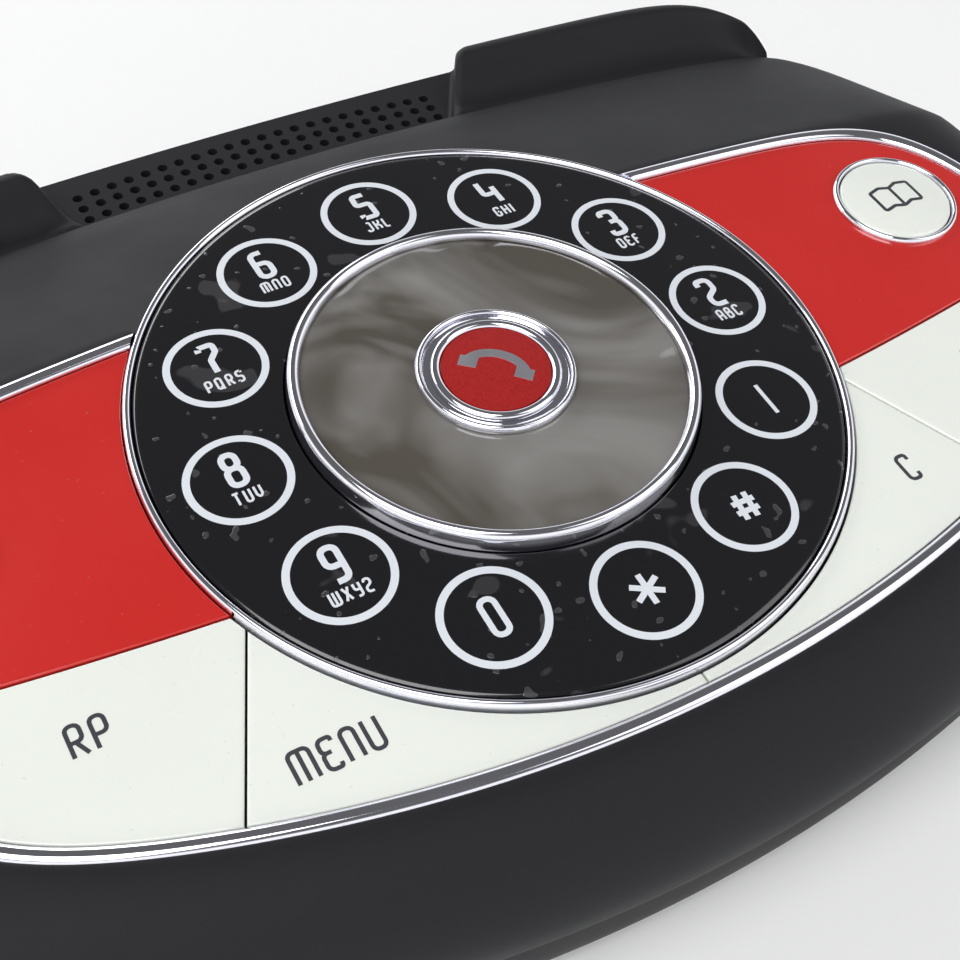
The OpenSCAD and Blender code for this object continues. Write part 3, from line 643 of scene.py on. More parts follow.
def glossy(name, colour, roughness=0.28, vary=0.05):
    """Piano-gloss plastic: a clear coat with a slow ripple, faint clouding and fine dust."""
    mat, tree, shader = material(name, colour, roughness, coat=1.0, coat_rough=0.04)
    cloud = texture(tree, 22, Detail=3.0)
    dust = texture(tree, 1500, Detail=1.0)
    specks = spread(tree, dust, 0.0, 1.0, 0.74, 0.78)
    tone = blended(tree, cloud, *tones(colour, vary))
    dusty = tuple(0.85 * c + 0.04 for c in colour)
    tree.links.new(blended(tree, specks, tone, dusty), shader.inputs["Base Color"])
    tree.links.new(spread(tree, cloud, roughness - 0.08, roughness + 0.10, 0.3, 0.7),
                   shader.inputs["Roughness"])
    ripple = texture(tree, 120, Detail=2.0)
    relief(tree, shader, ripple, 0.006 * MM, coat=True)
    return mat


def plated(name, colour=(0.91, 0.91, 0.93), roughness=0.08, scratch=0.05):
    """Bright plating: slow ripples, faint hairlines, a cool tint in places."""
    mat, tree, shader = material(name, colour, roughness, metallic=1.0)
    haze = texture(tree, 70, Detail=5.0, Roughness=0.65)
    tree.links.new(spread(tree, haze, roughness - 0.04, roughness + scratch, 0.3, 0.75),
                   shader.inputs["Roughness"])
    cool = (colour[0] * 0.93, colour[1] * 0.92, min(1, colour[2] * 1.03))
    tree.links.new(blended(tree, haze, colour, cool), shader.inputs["Base Color"])
    ripple = texture(tree, 260, Detail=2.0)
    relief(tree, shader, ripple, 0.006 * MM)
    return mat


def filmed_black(name):
    """Black gloss of the dial under its protective film, with specks of dust and flat air bubbles."""
    mat, tree, shader = material(name, (0.006, 0.006, 0.008), 0.22, coat=1.0, coat_rough=0.05)
    blobs = texture(tree, 85, Detail=2.0, Roughness=0.55, Distortion=0.4)
    bubble = spread(tree, blobs, 0.0, 0.7, 0.665, 0.68)
    grit = texture(tree, 620, Detail=0.0)
    speck = spread(tree, grit, 0.0, 1.0, 0.77, 0.785)
    both = tree.nodes.new("ShaderNodeMath")
    both.operation = "MAXIMUM"
    tree.links.new(bubble, both.inputs[0])
    tree.links.new(speck, both.inputs[1])
    tree.links.new(blended(tree, both.outputs[0], (0.006, 0.006, 0.008), (0.040, 0.039, 0.043)),
                   shader.inputs["Base Color"])
    tree.links.new(spread(tree, both.outputs[0], 0.14, 0.36), shader.inputs["Roughness"])
    first = relief(tree, shader, both.outputs[0], 0.02 * MM, coat=True)
    slack = texture(tree, 30, Detail=2.0)
    relief(tree, shader, slack, 0.10 * MM, coat=True, base=first)
    return mat


def smoked(name):
    """Smoked window over a grey display, with a slack, creased film whose folds are painted into the colour as
    lighter grey patches of reflection.
    """
    mat, tree, shader = material(name, (0.10, 0.095, 0.085), 0.16, coat=1.0, coat_rough=0.05)
    shader.inputs["Transmission Weight"].default_value = 0.22
    shader.inputs["IOR"].default_value = 1.49
    painted_fold_reflection = texture(tree, 26, Detail=3.0, Roughness=0.5, Distortion=1.6)
    # painted reflection: the noise lightens the brown smoked tone to grey in patches, standing in for the
    # highlights of the creased film
    tone = blended(tree, spread(tree, painted_fold_reflection, 0, 1, 0.38, 0.60), (0.110, 0.097, 0.080),
                   (0.31, 0.30, 0.285))
    tree.links.new(tone, shader.inputs["Base Color"])
    crease = texture(tree, 27, Detail=1.0, Roughness=0.35, Distortion=1.6)
    relief(tree, shader, crease, 5.4 * MM, coat=True)
    return mat


def enamel(name):
    """Deep red enamel with a fine woven flicker under the clear top."""
    mat, tree, shader = material(name, (0.42, 0.012, 0.012), 0.25, coat=1.0, coat_rough=0.03)
    weave = texture(tree, 3600, "ShaderNodeTexVoronoi", "Distance")
    tree.links.new(blended(tree, weave, (0.46, 0.016, 0.014), (0.30, 0.008, 0.008)),
                   shader.inputs["Base Color"])
    wave = texture(tree, 160)
    relief(tree, shader, wave, 0.01 * MM, coat=True)
    return mat


def laminate(name):
    """Green solder mask over copper tracks."""
    mat, tree, shader = material(name, (0.012, 0.11, 0.05), 0.35, coat=0.4, coat_rough=0.2)
    tracks = texture(tree, 230, "ShaderNodeTexBrick")
    tree.links.new(blended(tree, tracks, (0.010, 0.10, 0.045), (0.03, 0.19, 0.08)),
                   shader.inputs["Base Color"])
    relief(tree, shader, tracks, 0.03 * MM)
    return mat


soft_black = moulded("soft_touch_black", (0.014, 0.014, 0.016), 0.60, grain=3200, depth=0.010, sheen=0.02,
                     specular=0.20)
base_black = moulded("base_plastic", (0.018, 0.018, 0.020), 0.55, grain=1500, depth=0.022, specular=0.3)
inner_black = moulded("inner_plastic", (0.020, 0.020, 0.022), 0.50, grain=1800, depth=0.015)
drum_black = moulded("drum_plastic", (0.012, 0.012, 0.013), 0.42, grain=1800, depth=0.010)
red_gloss = glossy("red_gloss", (0.60, 0.018, 0.014))
white_gloss = glossy("white_gloss", (0.85, 0.88, 0.82))
chrome = plated("chrome")
steel = plated("steel", (0.56, 0.57, 0.58), 0.32, 0.12)
gold = plated("contact_gold", (0.80, 0.62, 0.30), 0.22, 0.10)
dial_black = filmed_black("dial_black")
window = smoked("smoked_window")
badge_red = enamel("badge_enamel")
board = laminate("circuit_board")
chip_black = moulded("chip_epoxy", (0.022, 0.022, 0.024), 0.40, grain=2500)
sleeve = glossy("capacitor_sleeve", (0.05, 0.10, 0.20))
cream = moulded("connector_nylon", (0.72, 0.68, 0.56), 0.45)
silicone = moulded("key_silicone", (0.28, 0.30, 0.31), 0.55)
foam = moulded("foam", (0.05, 0.05, 0.05), 0.9, grain=1500, depth=0.2)
paper = moulded("cone_paper", (0.020, 0.020, 0.022), 0.8, grain=1200, depth=0.08)
rubber = moulded("rubber", (0.016, 0.016, 0.017), 0.72, grain=1300, depth=0.05)
jack_black = moulded("jack_nylon", (0.015, 0.015, 0.017), 0.38, grain=1600)
display_glass = glossy("display_glass", (0.10, 0.12, 0.105))
cell_wrap = glossy("cell_wrap", (0.50, 0.20, 0.04))
knob_white = moulded("knob_white", (0.72, 0.72, 0.69), 0.42)
print_white = moulded("print_white", (0.72, 0.75, 0.80), 0.38, grain=2000, depth=0.004, vary=0.04)
print_dark = moulded("print_dark", (0.045, 0.045, 0.055), 0.42, grain=2000, depth=0.004, vary=0.04)
badge_silver = plated("badge_silver", (0.90, 0.90, 0.92), 0.34, 0.08)


# ---- camera
FORWARD = Vector((0.3592, 0.6334, -0.6854)).normalized()
EYE = Vector((-0.0764, -0.14215, 0.1671))
ROLL = math.radians(-0.638)
VIEW_ANGLE = math.radians(36.41)


def add_camera():
    data = bpy.data.cameras.new("camera")
    data.angle = VIEW_ANGLE
    data.clip_start = 0.005
    obj = bpy.data.objects.new("camera", data)
    bpy.context.scene.collection.objects.link(obj)
    level = FORWARD.cross(Vector((0, 0, 1))).normalized()
    right = level * math.cos(ROLL) + level.cross(FORWARD) * math.sin(ROLL)
    up = (-FORWARD).cross(right)
    obj.matrix_world = Matrix.Translation(EYE) @ Matrix((right, up, -FORWARD)).transposed().to_4x4()
    bpy.context.scene.camera = obj


add_camera()


# ---- casings
def hood_z(x, y):
    return TOP_Z - HOOD_SLOPE * max(0.0, y - edge(x, PANEL["rear"]))


def crest(a):
    """How far a direction belongs to the crest at the rear: 0 at the front and sides, 1 along the crest."""
    start, span = 0.40, 0.22
    t = min(1.0, max(0.0, (math.sin(a) - start) / span))
    return t * t * (3 - 2 * t)


def hood_ring(s, d, n):
    """One ring of the hood, s = 0 at the panel and 1 at the widest outline."""
    inner, outer = outline(PANEL, 0, n), outline(HOOD, d, n)
    roll = CREST_ROLL * max(0.0, (s - ROLL_START) / (1 - ROLL_START)) ** 2
    ring = []
    for i in range(n):
        a = 2 * math.pi * i / n
        x = inner[i][0] + (outer[i][0] - inner[i][0]) * s
        y = inner[i][1] + (outer[i][1] - inner[i][1]) * s
        power = 2 + 4 * max(0.0, math.sin(a)) ** 2
        fall = 1 - max(0.0, 1 - s ** power) ** (1 / power)
        w, z = crest(a), hood_z(x, y)
        ring.append((x, y, z - (1 - w) * (z - WIDE_Z) * fall - w * roll - d * (1 - s * s)))
    return ring


def hood_solid(d, drop, n, steps):
    rings = []
    rim = hood_ring(1.0, d, n)
    for k in range(5):
        t = 1 - k / 5
        rings.append([(x, y, z + (PART_Z - z - drop) * t)
                      for (x, y), (_, _, z) in zip(outline(HOOD, d + TUCK * t * t, n), rim)])
    rings += [hood_ring(math.cos(math.pi / 2 * k / steps), d, n) for k in range(steps)]
    rings.append(hood_ring(0.0, d, n))
    return loft(rings)


def part_height(y):
    return FACE_H + (y - FACE_Y) * math.tan(TILT) + PART_Z / math.cos(TILT)


def stem_places():
    """Centres of the key stems that pass the panel's floor, on both sides."""
    panel = [(s * x * U, y * U) for s in (-1, 1) for x, y in OUTER_STEMS + INNER_STEMS]
    return panel + [spot for s in (-1, 1) for spot in round_stems(s)]


def round_stems(side):
    return [(side * ROUND_KEY[0], ROUND_KEY[1] + o * MM) for o in (-5.5, 0, 5.5)]


def front_shell():
    shell = piece("front_shell_skin", *hood_solid(0, 0, PANEL_FINE, 26))
    hollow = piece("tool", *hood_solid(WALL, 1 * MM, 96, 10))
    cut(hollow, [prism(outline(PANEL, -0.02 * U, 144), GUIDE_TOP - GUIDE_T, ABOVE)])
    cut(hollow, [post(at, SHELL_BOSS_R, 0, FAR) for at in SCREW_SPOTS], on_face=False)
    carve(shell, hollow)
    cut(shell, [prism(outline(PANEL, 0.02 * U, PANEL_FINE), GUIDE_TOP, ABOVE)])
    seat_r, seat_z = DIAL_R + 0.15 * MM, -3.85 * MM
    deep = -40 * MM
    drum = [(0, deep), (DRUM_R, deep), (DRUM_R, seat_z), (seat_r, seat_z), (seat_r, ABOVE), (0, ABOVE)]
    carve(shell, turned("tool", drum))
    low, high = GUIDE_TOP - 5 * MM, GUIDE_TOP + 5 * MM
    cut(shell, [post(at, STEM_R + 0.2 * MM, low, high, 24) for at in stem_places()])
    pilots = []
    for x, y in SCREW_SPOTS:
        low = part_height(y) - 10 * MM
        pilots.append(post((x, y), PILOT_R, low, low + 18 * MM, 24))
    cut(shell, pilots, on_face=False)
    return dress(smooth(shell), soft_black, BASE, "soft_touch_black", "front_shell")


LIP = ((0, -0.56), (0.02, -0.47), (0.04, -0.38), (0.055, -0.330), (0.085, -0.302), (0.135, -0.292))
TROUGH = ((0.87, -0.316), (0.68, -0.368), (0.48, -0.412), (0.28, -0.430), (0.12, -0.426))
DECK_FRONT_Z, DECK_WALL_Z = -0.44, -0.46


def deck_section(x, d, low, steps):
    front = hood_rear(x) + SEAM + d
    rear = max(deck_rear(x) - d, front + 0.02 * U)
    k = min(1.0, (rear - front) / (0.30 * U))
    lip_y = rear - 0.135 * k * U

    def height(h):
        return (DECK_FRONT_Z + (h - DECK_FRONT_Z) * (k if h > DECK_WALL_Z else 1)) * U - d
    line = [(rear - p * k * U, low if p == 0 else height(h)) for p, h in LIP]
    line += [(front + (lip_y - front) * p, height(h)) for p, h in TROUGH]
    line.append((front, DECK_FRONT_Z * U - d))
    return [(x, front, low)] + [(x, y, z) for y, z in smooth_line(line, steps)]


def deck_block(d, low, stations, steps):
    reach = 0.997 * DECK_HALF * U - d
    return loft([deck_section(reach * math.sin(math.pi / 2 * i / stations), d, low, steps)
                 for i in range(-stations, stations + 1)])


def deck_top(x, y):
    """Height of the deck's upper face at a point, for tools that follow it."""
    section = deck_section(x, 0, PART_Z, 3)[2:]
    best = min(range(len(section) - 1), key=lambda i: abs((section[i][1] + section[i + 1][1]) / 2 - y))
    (_, y0, z0), (_, y1, z1) = section[best], section[best + 1]
    t = 0 if y0 == y1 else min(1, max(0, (y - y0) / (y1 - y0)))
    return max(z0 + (z1 - z0) * t, DECK_WALL_Z * U)


RECESS_SIDE = ((1.775, 0.84), (2.146, 1.058))


def recess_plan(d):
    """Corners of the grille recess, whose sides open towards the rear."""
    (y0, x0), (y1, x1) = RECESS_SIDE
    flare = (x1 - x0) / (y1 - y0)
    half = [((x0 + (y - y0) * flare) * U + d, y * U) for y in (1.70, 2.6)]
    return [*half, *((-x, y) for x, y in reversed(half))]


def recess_cutter():
    """Tool for the grille recess: a small fillet at the floor, and a flare that rounds the upper edge."""
    corners = recess_plan(0)
    loop = []
    for i in range(4):
        a, b = Vector(corners[i - 1]), Vector(corners[i])
        loop += [tuple(a.lerp(b, k / 40)) for k in range(40)]
    foot_r, flare_r = 0.9 * MM, 1.7 * MM
    rings = [[(x, y, RECESS_Z + foot_r * (1 - math.cos(a)))
              for x, y in inset(loop, foot_r * (1 - math.sin(a)))] for a in quarter(6)]
    rings += [[(x, y, deck_top(x, y) - flare_r * (1 - math.sin(a)))
               for x, y in inset(loop, -flare_r * (1 - math.cos(a)))] for a in quarter(6)]
    rings.append([(x, y, 0) for x, y in inset(loop, -flare_r * 1.02)])
    return loft(rings)


def sound_holes():
    """Curved rows of holes through the floor of the recess."""
    for row in range(SOUND_ROWS):
        for i in range(SOUND_COLS):
            x = (i - (SOUND_COLS - 1) / 2) * 0.0822 * U
            y = (2.148 - 0.074 * row) * U - 0.0725 * x * x / U
            yield post((x, y), SOUND_R, RECESS_Z - 5 * MM, RECESS_Z + 4 * MM, 20)


def rear_deck():
    deck = piece("rear_deck_skin", *deck_block(0, PART_Z, 150, 4))
    hollow = piece("tool", *deck_block(WALL, PART_Z - 1 * MM, 40, 2))
    cut(hollow, [prism(recess_plan(WALL), RECESS_Z - WALL, ABOVE)])
    carve(deck, hollow)
    cut(deck, [recess_cutter()])
    cut(deck, sound_holes())
    cut(deck, [post(PLUNGER_SPOT, 4.5 * MM, ABOVE, FAR, 48)], on_face=False)
    return dress(smooth(deck), soft_black, BASE, "soft_touch_black", "rear_deck")


def base_inset(v):
    return TUCK + (BASE_TUCK - TUCK) * (1 - (1 - v ** 3) ** (1 / 3))


def base_ring(v, d, low, n):
    ring = []
    for x, y in footprint(base_inset(v) + d, n):
        q = FACE @ Vector((x, y, PART_Z))
        ring.append((q.x, q.y, q.z - SEAM + (low - q.z) * v))
    return ring


def base_bosses():
    """Posts that stand on the floor under the casing screws and the main board."""
    low = FLOOR_Z + 1 * MM
    for x, y in SCREW_SPOTS:
        yield post((x, y), BASE_BOSS_R, low, part_height(y - BASE_BOSS_R) - 0.2 * MM)
    for at in BOARD_SPOTS:
        yield post(at, BOARD_POST_R, low, 12 * MM)


def floor_cuts():
    """Pilots, stepped screw wells, foot wells, battery opening and microphone hole."""
    for at in BOARD_SPOTS:
        yield post(at, PILOT_R, 5 * MM, 25 * MM, 24)
    for x, y in SCREW_SPOTS:
        step = part_height(y) - 8 * MM
        levels = ((WELL_R, BELOW), (WELL_R, step), (CLEAR_R, step), (CLEAR_R, FAR))
        yield loft([[(px, py, z) for px, py in circle(x, y, r, 32)] for r, z in levels])
    for at in FOOT_SPOTS:
        yield post(at, FOOT_WELL_R, BELOW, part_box("rubber_feet")[1].z, 48)
    yield prism(box_points(-18.5 * MM, 18.5 * MM, -22 * MM, 30 * MM), BELOW, FLOOR_Z + FLOOR_T + 2 * MM)
    yield post((0, -54 * MM), 0.8 * MM, BELOW, 10 * MM, 24)


def rear_ports():
    """Openings in the rear wall round the sockets, the power inlet and the ringer switch."""
    through = 30 * MM
    around, height = 0.2 * MM, 19.1 * MM
    for node in ("line_jack", "handset_jack"):
        a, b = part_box(node)
        mouth = box_points(a.x - around, b.x + around, a.y - 4 * MM, b.y + through)
        yield prism(mouth, a.z - around, b.z + around)
    a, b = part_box("power_jack")
    ring = circle((a.x + b.x) / 2, height, 4.1 * MM, 48)
    yield loft([[(x, y, z) for x, z in ring] for y in (a.y, b.y + through)])
    a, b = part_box("ringer_switch_knob")
    centre, slot = (a.x + b.x) / 2, 4.8 * MM
    mouth = box_points(centre - slot, centre + slot, a.y - 4 * MM, b.y + 10 * MM)
    yield prism(mouth, height - 1.4 * MM, height + 1.4 * MM)


def base_shell():
    levels = [math.sin(a) for a in reversed(quarter(18))]
    shell = piece("base_skin", *loft([base_ring(v, 0, FLOOR_Z, PANEL_FINE) for v in levels]), on_face=False)
    rings = [base_ring(v, WALL, FLOOR_Z + FLOOR_T, 144) for v in (1, 0.97, 0.9, 0.75, 0.5, 0.25, 0)]
    rings.append([(x, y, z + 5 * MM) for x, y, z in rings[-1]])
    cut(shell, [loft(rings)], on_face=False)
    cut(shell, base_bosses(), on_face=False, operation="UNION")
    cut(shell, floor_cuts(), on_face=False)
    cut(shell, rear_ports(), on_face=False)
    return dress(smooth(shell), base_black, BASE, "base_black", "base_shell")


front_shell()
rear_deck()
base_shell()


# ---- panel
def crown(x, y):
    """The panel swells a little between its front and rear edges."""
    front, rear = edge(x, PANEL["front"]), edge(x, PANEL["rear"])
    v = (y - (front + rear) / 2) / ((rear - front) / 2)
    return TOP_Z + 0.22 * MM * max(0.0, 1 - v * v)


def panel_trim():
    """Chrome bead round the panel, on a foot that stands in the casing's seat. The dial cuts through it."""
    inner, outer, low = 0.025 * U, 0.055 * U, -2.6 * MM
    profile = []
    for k in range(15):
        a = math.pi * k / 14
        profile.append((TRIM_W * (1 - math.cos(a)) / 2, TOP_Z + 0.02 * MM + 0.93 * MM * math.sin(a) ** 0.8))
    profile += [(outer, TOP_Z), (outer, low), (inner, low), (inner, TOP_Z)]
    rings = [[(x, y, z) for x, y in outline(PANEL, d, PANEL_FINE)] for d, z in profile]
    trim = piece("panel_trim_bead", *loft(rings, closed=True))
    cut(trim, [post((0, 0), DIAL_HOLE, -ABOVE, ABOVE, 256)])
    return dress(smooth(trim, 45), chrome, BASE, "chrome", "panel_trim")


panel_trim()

EDGE_LOOP = outline(PANEL, TRIM_W + 0.02 * MM, PANEL_FINE)
KEY_LOOP = outline(PANEL, TRIM_W + KEY_GAP, PANEL_FINE)
IN_PANEL, IN_KEYS = inside([EDGE_LOOP]), inside([KEY_LOOP])
REACH = 2.6 * U


def band_line(gap):
    return [(x, edge(x, BAND) - gap) for x in (REACH * (i / 60 - 1) for i in range(121))]


def split_x(y):
    (x0, y0), (x1, y1) = SPLIT
    return (x0 + (y / U - y0) * (x1 - x0) / (y1 - y0)) * U


def red_fascia(side, name):
    hole_r = RING_R - 0.6 * MM
    centre = (side * ROUND_KEY[0], ROUND_KEY[1])

    def keep(x, y):
        return (side * x > 0 and math.hypot(x, y) > DIAL_HOLE and y > edge(x, BAND)
                and math.hypot(x - centre[0], y - centre[1]) > hole_r and IN_PANEL(x, y))
    curves = [ringed(EDGE_LOOP), ringed(circle(0, 0, DIAL_HOLE, 256)), ringed(circle(*centre, hole_r, 96)),
              band_line(0)]
    obj = plate(name, curves, keep, CAP_LOW, crown, 0.28 * MM)
    pegs = [post((side * x * U, y * U), 2 * MM, GUIDE_TOP, STEM_TOP) for x, y in ((1.45, 0.55), (1.5, -0.2))]
    cut(obj, pegs, operation="UNION")
    return dress(smooth(obj, 40), red_gloss, BASE, "red_gloss", name.replace("_gloss", ""))


def panel_key(node, side, outer):
    half, round_dial = KEY_GAP / 2, DIAL_R + KEY_GAP
    reach = (-2 * U, 0.2 * U)
    bend = 1 if outer else -1
    divide = [(side * (split_x(y) + bend * half), y) for y in reach]
    centre_line = [(side * half, y) for y in reach]

    def keep(x, y):
        if side * x < half or math.hypot(x, y) < round_dial or y > edge(x, BAND) - KEY_GAP:
            return False
        beyond = side * x - split_x(y)
        return (beyond > half if outer else beyond < -half) and IN_KEYS(x, y)
    curves = [ringed(KEY_LOOP), ringed(circle(0, 0, round_dial, 256)), band_line(KEY_GAP), divide,
              centre_line]
    obj = plate(node + "_cap", curves, keep, CAP_LOW, crown, 0.30 * MM)
    stems = [post((side * x * U, y * U), STEM_R, STEM_LOW, STEM_TOP)
             for x, y in (OUTER_STEMS if outer else INNER_STEMS)]
    cut(obj, stems, operation="UNION")
    return dress(smooth(obj, 40), white_gloss, node + "_body", "white_gloss", node)


red_fascia(-1, "red_fascia_left_gloss")
red_fascia(1, "red_fascia_right_gloss")
PANEL_KEYS = (("redial", -1, True, "RP", (-1.78, -0.669)), ("menu", -1, False, "MENU", (-1.148, -1.048)),
              ("clear", 1, False, "C", (1.157, -0.975)), ("ok", 1, True, "OK", (1.78, -0.669)))
for key, side, outer, _, _ in PANEL_KEYS:
    panel_key(key + "_key", side, outer)
for key, _, _, word, (x, y) in PANEL_KEYS:
    ink(key + "_print", lettering(word, 4.5 * MM, 0.115, (x * U, y * U), gap=0.14), crown, print_dark,
        key + "_key_body", "dial_black")


def cap_top(r):
    return TOP_Z + 1.32 * MM - 0.55 * MM * (r / CAP_R) ** 2


def round_key(side, name):
    """Domed cap in a chrome ring, with its sign printed on it."""
    at = (side * ROUND_KEY[0], ROUND_KEY[1])
    body = name + "_key_body"
    inner, foot, rim = CAP_R + 0.15 * MM, RING_R - 0.62 * MM, TOP_Z + 0.25 * MM
    ring = [(inner, CAP_LOW), (foot, CAP_LOW), (foot, rim), (RING_R, rim)]
    ring += bead(inner, RING_R, TOP_Z + 0.30 * MM, 0.72 * MM)
    dress(smooth(turned(name + "_ring", ring, at), 40), chrome, BASE, "chrome", name + "_key_ring")
    edge_r, steps = 0.4 * MM, 12
    cap = [(0, CAP_LOW), (CAP_R, CAP_LOW)]
    cap += [(CAP_R - edge_r * (1 - math.cos(a)), cap_top(CAP_R) - edge_r * (1 - math.sin(a)))
            for a in quarter(5)[:-1]]
    cap += [(r, cap_top(r)) for r in ((CAP_R - edge_r) * (1 - k / steps) for k in range(steps))]
    obj = turned(name + "_cap", cap + [(0, cap_top(0))], at)
    cut(obj, [post(spot, STEM_R, STEM_LOW, STEM_TOP) for spot in round_stems(side)], operation="UNION")
    dress(smooth(obj, 40), white_gloss, body, "white_gloss", name + "_key_cap")

    def surface(x, y):
        return cap_top(math.hypot(x - at[0], y - at[1]))
    ink(name + "_print", pictogram(name, at), surface, print_dark, body, "dial_black")


PICTOGRAMS = {
    "phonebook": [[(0, -.62), (0, .55)],
                  *([(0, .55), (s * .45, .72), (s * 1, .60), (s * 1, -.58), (s * .45, -.46), (0, -.62)]
                    for s in (-1, 1))],
    "speaker": [[(-.9, -.30), (-.9, .30), (-.45, .30), (.05, .75), (.05, -.75), (-.45, -.30), (-.9, -.30)],
                [(.38, .35), (.52, 0), (.38, -.35)], [(.70, .65), (.95, 0), (.70, -.65)]],
}


def pictogram(name, at, size=3.6 * MM, thick=0.55 * MM):
    quads = []
    for stroke in PICTOGRAMS[name]:
        closed = stroke[0] == stroke[-1]
        corners = [(at[0] + x * size, at[1] + y * size, 0.4 * MM)
                   for x, y in (stroke[:-1] if closed else stroke)]
        quads += strip(thinned(rounded(corners, closed, 4), 0.02 * MM), thick, closed)
    return quads


round_key(1, "phonebook")
round_key(-1, "speaker")


# ---- dial
def dial_top(r):
    return (-1.357 * (r / U - 1) - 0.03 * (r / U - 1) ** 2) * MM


def window_top(r):
    return (2.1 - 0.84 * (r / U) ** 2) * MM


def dial_part(name, profile, mat, slot, node, n=RING_FINE):
    return dress(smooth(turned(name, profile, n=n), 40), mat, BASE, slot, node)


def outer_ring():
    low = -3.7 * MM
    ring = [(1.290 * U, low), (1.315 * U, low), (DIAL_R, -2.6 * MM)]
    ring += bead(1.287 * U, DIAL_R, -1.25 * MM, 1.15 * MM)
    dial_part("dial_chrome_ring", ring, chrome, "chrome", "dial_outer_ring")


def dial_face():
    """Flat black ring that falls a little towards its rounded edges."""
    steps = 16
    low, high = INNER_R + 0.1 * MM, 1.262 * U
    start, reach = low + 0.2 * MM, high - low - 0.2 * MM
    slab = [(low, -1.56 * MM), (low, dial_top(low) - 0.2 * MM), (low + 0.06 * MM, dial_top(low) - 0.06 * MM)]
    slab += [(r, dial_top(r)) for r in (start + reach * k / steps for k in range(steps + 1))]
    slab += [(1.274 * U, dial_top(high) - 0.09 * MM), (1.282 * U, dial_top(high) - 0.24 * MM),
             (PLATE_R, -0.75 * MM), (PLATE_R, -2.4 * MM)]
    dial_part("dial_face", slab, dial_black, "dial_black", "dial_plate")


def inner_ring():
    wall, low, high = 0.735 * U, -5.2 * MM, 1.9 * MM
    ring = [(wall, low), (INNER_R, low), (INNER_R, 0.4 * MM)]
    ring += bead(0.700 * U, 0.747 * U, high, 1.25 * MM)
    dial_part("window_chrome_ring", ring + [(wall, high)], chrome, "chrome", "dial_inner_ring")


def display_window():
    """Domed lens on a short skirt, hollow underneath over the display."""
    outer, inner, low = 0.732 * U, 0.710 * U, -4.4 * MM
    lens = [(r, window_top(r)) for r in (0.69 * U * k / 20 for k in range(21))]
    lens += [(outer, 1.68 * MM), (outer, low), (inner, low), (inner, 0.1 * MM)]
    lens += [(0.60 * U, 0.15 * MM), (0.30 * U, 0.25 * MM), (0, 0.3 * MM)]
    dial_part("display_window", lens, window, "smoked_lens", "display_lens")


FIGURE_H = 5.9 * MM
PLAIN_WEIGHT = {"1": 0.10, "0": 0.13}


def dial_print():
    """Twelve touch circles at 30 degree steps, each with its figure and letters."""
    quads = []
    ring_r, ring_w = 0.1763 * U, 1.0 * MM
    marks = (("1", ""), ("2", "ABC"), ("3", "DEF"), ("4", "GHI"), ("5", "JKL"), ("6", "MNO"),
             ("7", "PQRS"), ("8", "TUV"), ("9", "WXYZ"), ("0", ""), ("*", ""), ("#", ""))
    for i, (digit, letters) in enumerate(marks):
        a = math.radians(-30 + 30 * i)
        x, y = U * math.cos(a), U * math.sin(a)
        quads += strip(circle(x, y, ring_r, 96), ring_w, True)
        if letters:
            quads += lettering(digit, FIGURE_H, 0.145, (x, y + 1.65 * MM), aspect=0.95)
            quads += lettering(letters, 2.2 * MM, 0.15, (x, y - 2.85 * MM), gap=0.16, aspect=0.95)
        else:
            quads += lettering(digit, FIGURE_H, PLAIN_WEIGHT.get(digit, 0.135), (x, y))
    ink("dial_figures", quads, lambda x, y: dial_top(math.hypot(x, y)), print_white, BASE, "white_gloss")


def badge():
    """Enamel disc between round beads, with a generic sign on it."""
    r = BADGE_R
    step, disc_r, inner_r = r - 1.0 * MM, r - 3.45 * MM, r - 3.4 * MM
    bezel = [(0, 2.12 * MM), (0.25 * U, 2.07 * MM), (r - 0.6 * MM, 2.05 * MM), (r - 0.05 * MM, 2.3 * MM)]
    bezel += bead(step, r, 2.55 * MM, 0.85 * MM, 10)
    bezel += [(r - 1.05 * MM, 2.50 * MM), (r - 1.45 * MM, 2.35 * MM), (r - 1.85 * MM, 2.40 * MM)]
    bezel += bead(inner_r, r - 1.90 * MM, 2.60 * MM, 0.85 * MM, 10)
    bezel += [(inner_r, 2.4 * MM), (0, 2.4 * MM)]
    dial_part("badge_surround", bezel, chrome, "chrome", "badge_bezel", 160)

    def top(radius):
        return (3.42 - 0.42 * (radius / disc_r) ** 2) * MM
    steps, low = 12, 2.45 * MM
    disc = [(0, low), (disc_r, low)]
    disc += [(q, top(q)) for q in (disc_r * (1 - k / steps) for k in range(steps))]
    dial_part("badge_enamel_disc", disc + [(0, top(0))], badge_red, "badge_red", "badge_disc", 160)
    ink("badge_pictogram", handset(5.2 * MM), lambda x, y: top(math.hypot(x, y)), badge_silver, BASE,
        "chrome", 0.05 * MM)


def handset(size):
    """Plain sign of a telephone handset: a bowed grip with an ear piece and a mouth piece."""
    turn = Matrix.Rotation(math.radians(-42), 2)
    grip = [(size * 0.82 * math.cos(a), size * (0.62 * math.sin(a) - 0.18))
            for a in (math.radians(18 + 144 * k / 16) for k in range(17))]
    ends = [[(s * 0.98 * size, -0.02 * size), (s * 0.50 * size, -0.02 * size)] for s in (-1, 1)]
    quads = strip([tuple(turn @ Vector(p)) for p in grip], 0.27 * size, False)
    for line in ends:
        quads += strip([tuple(turn @ Vector(p)) for p in line], 0.36 * size, False)
    return quads


outer_ring()
dial_face()
inner_ring()
display_window()
dial_print()
badge()


# ---- hook plunger, feet and carried-over parts
SPRING_WIRE = 0.35 * MM


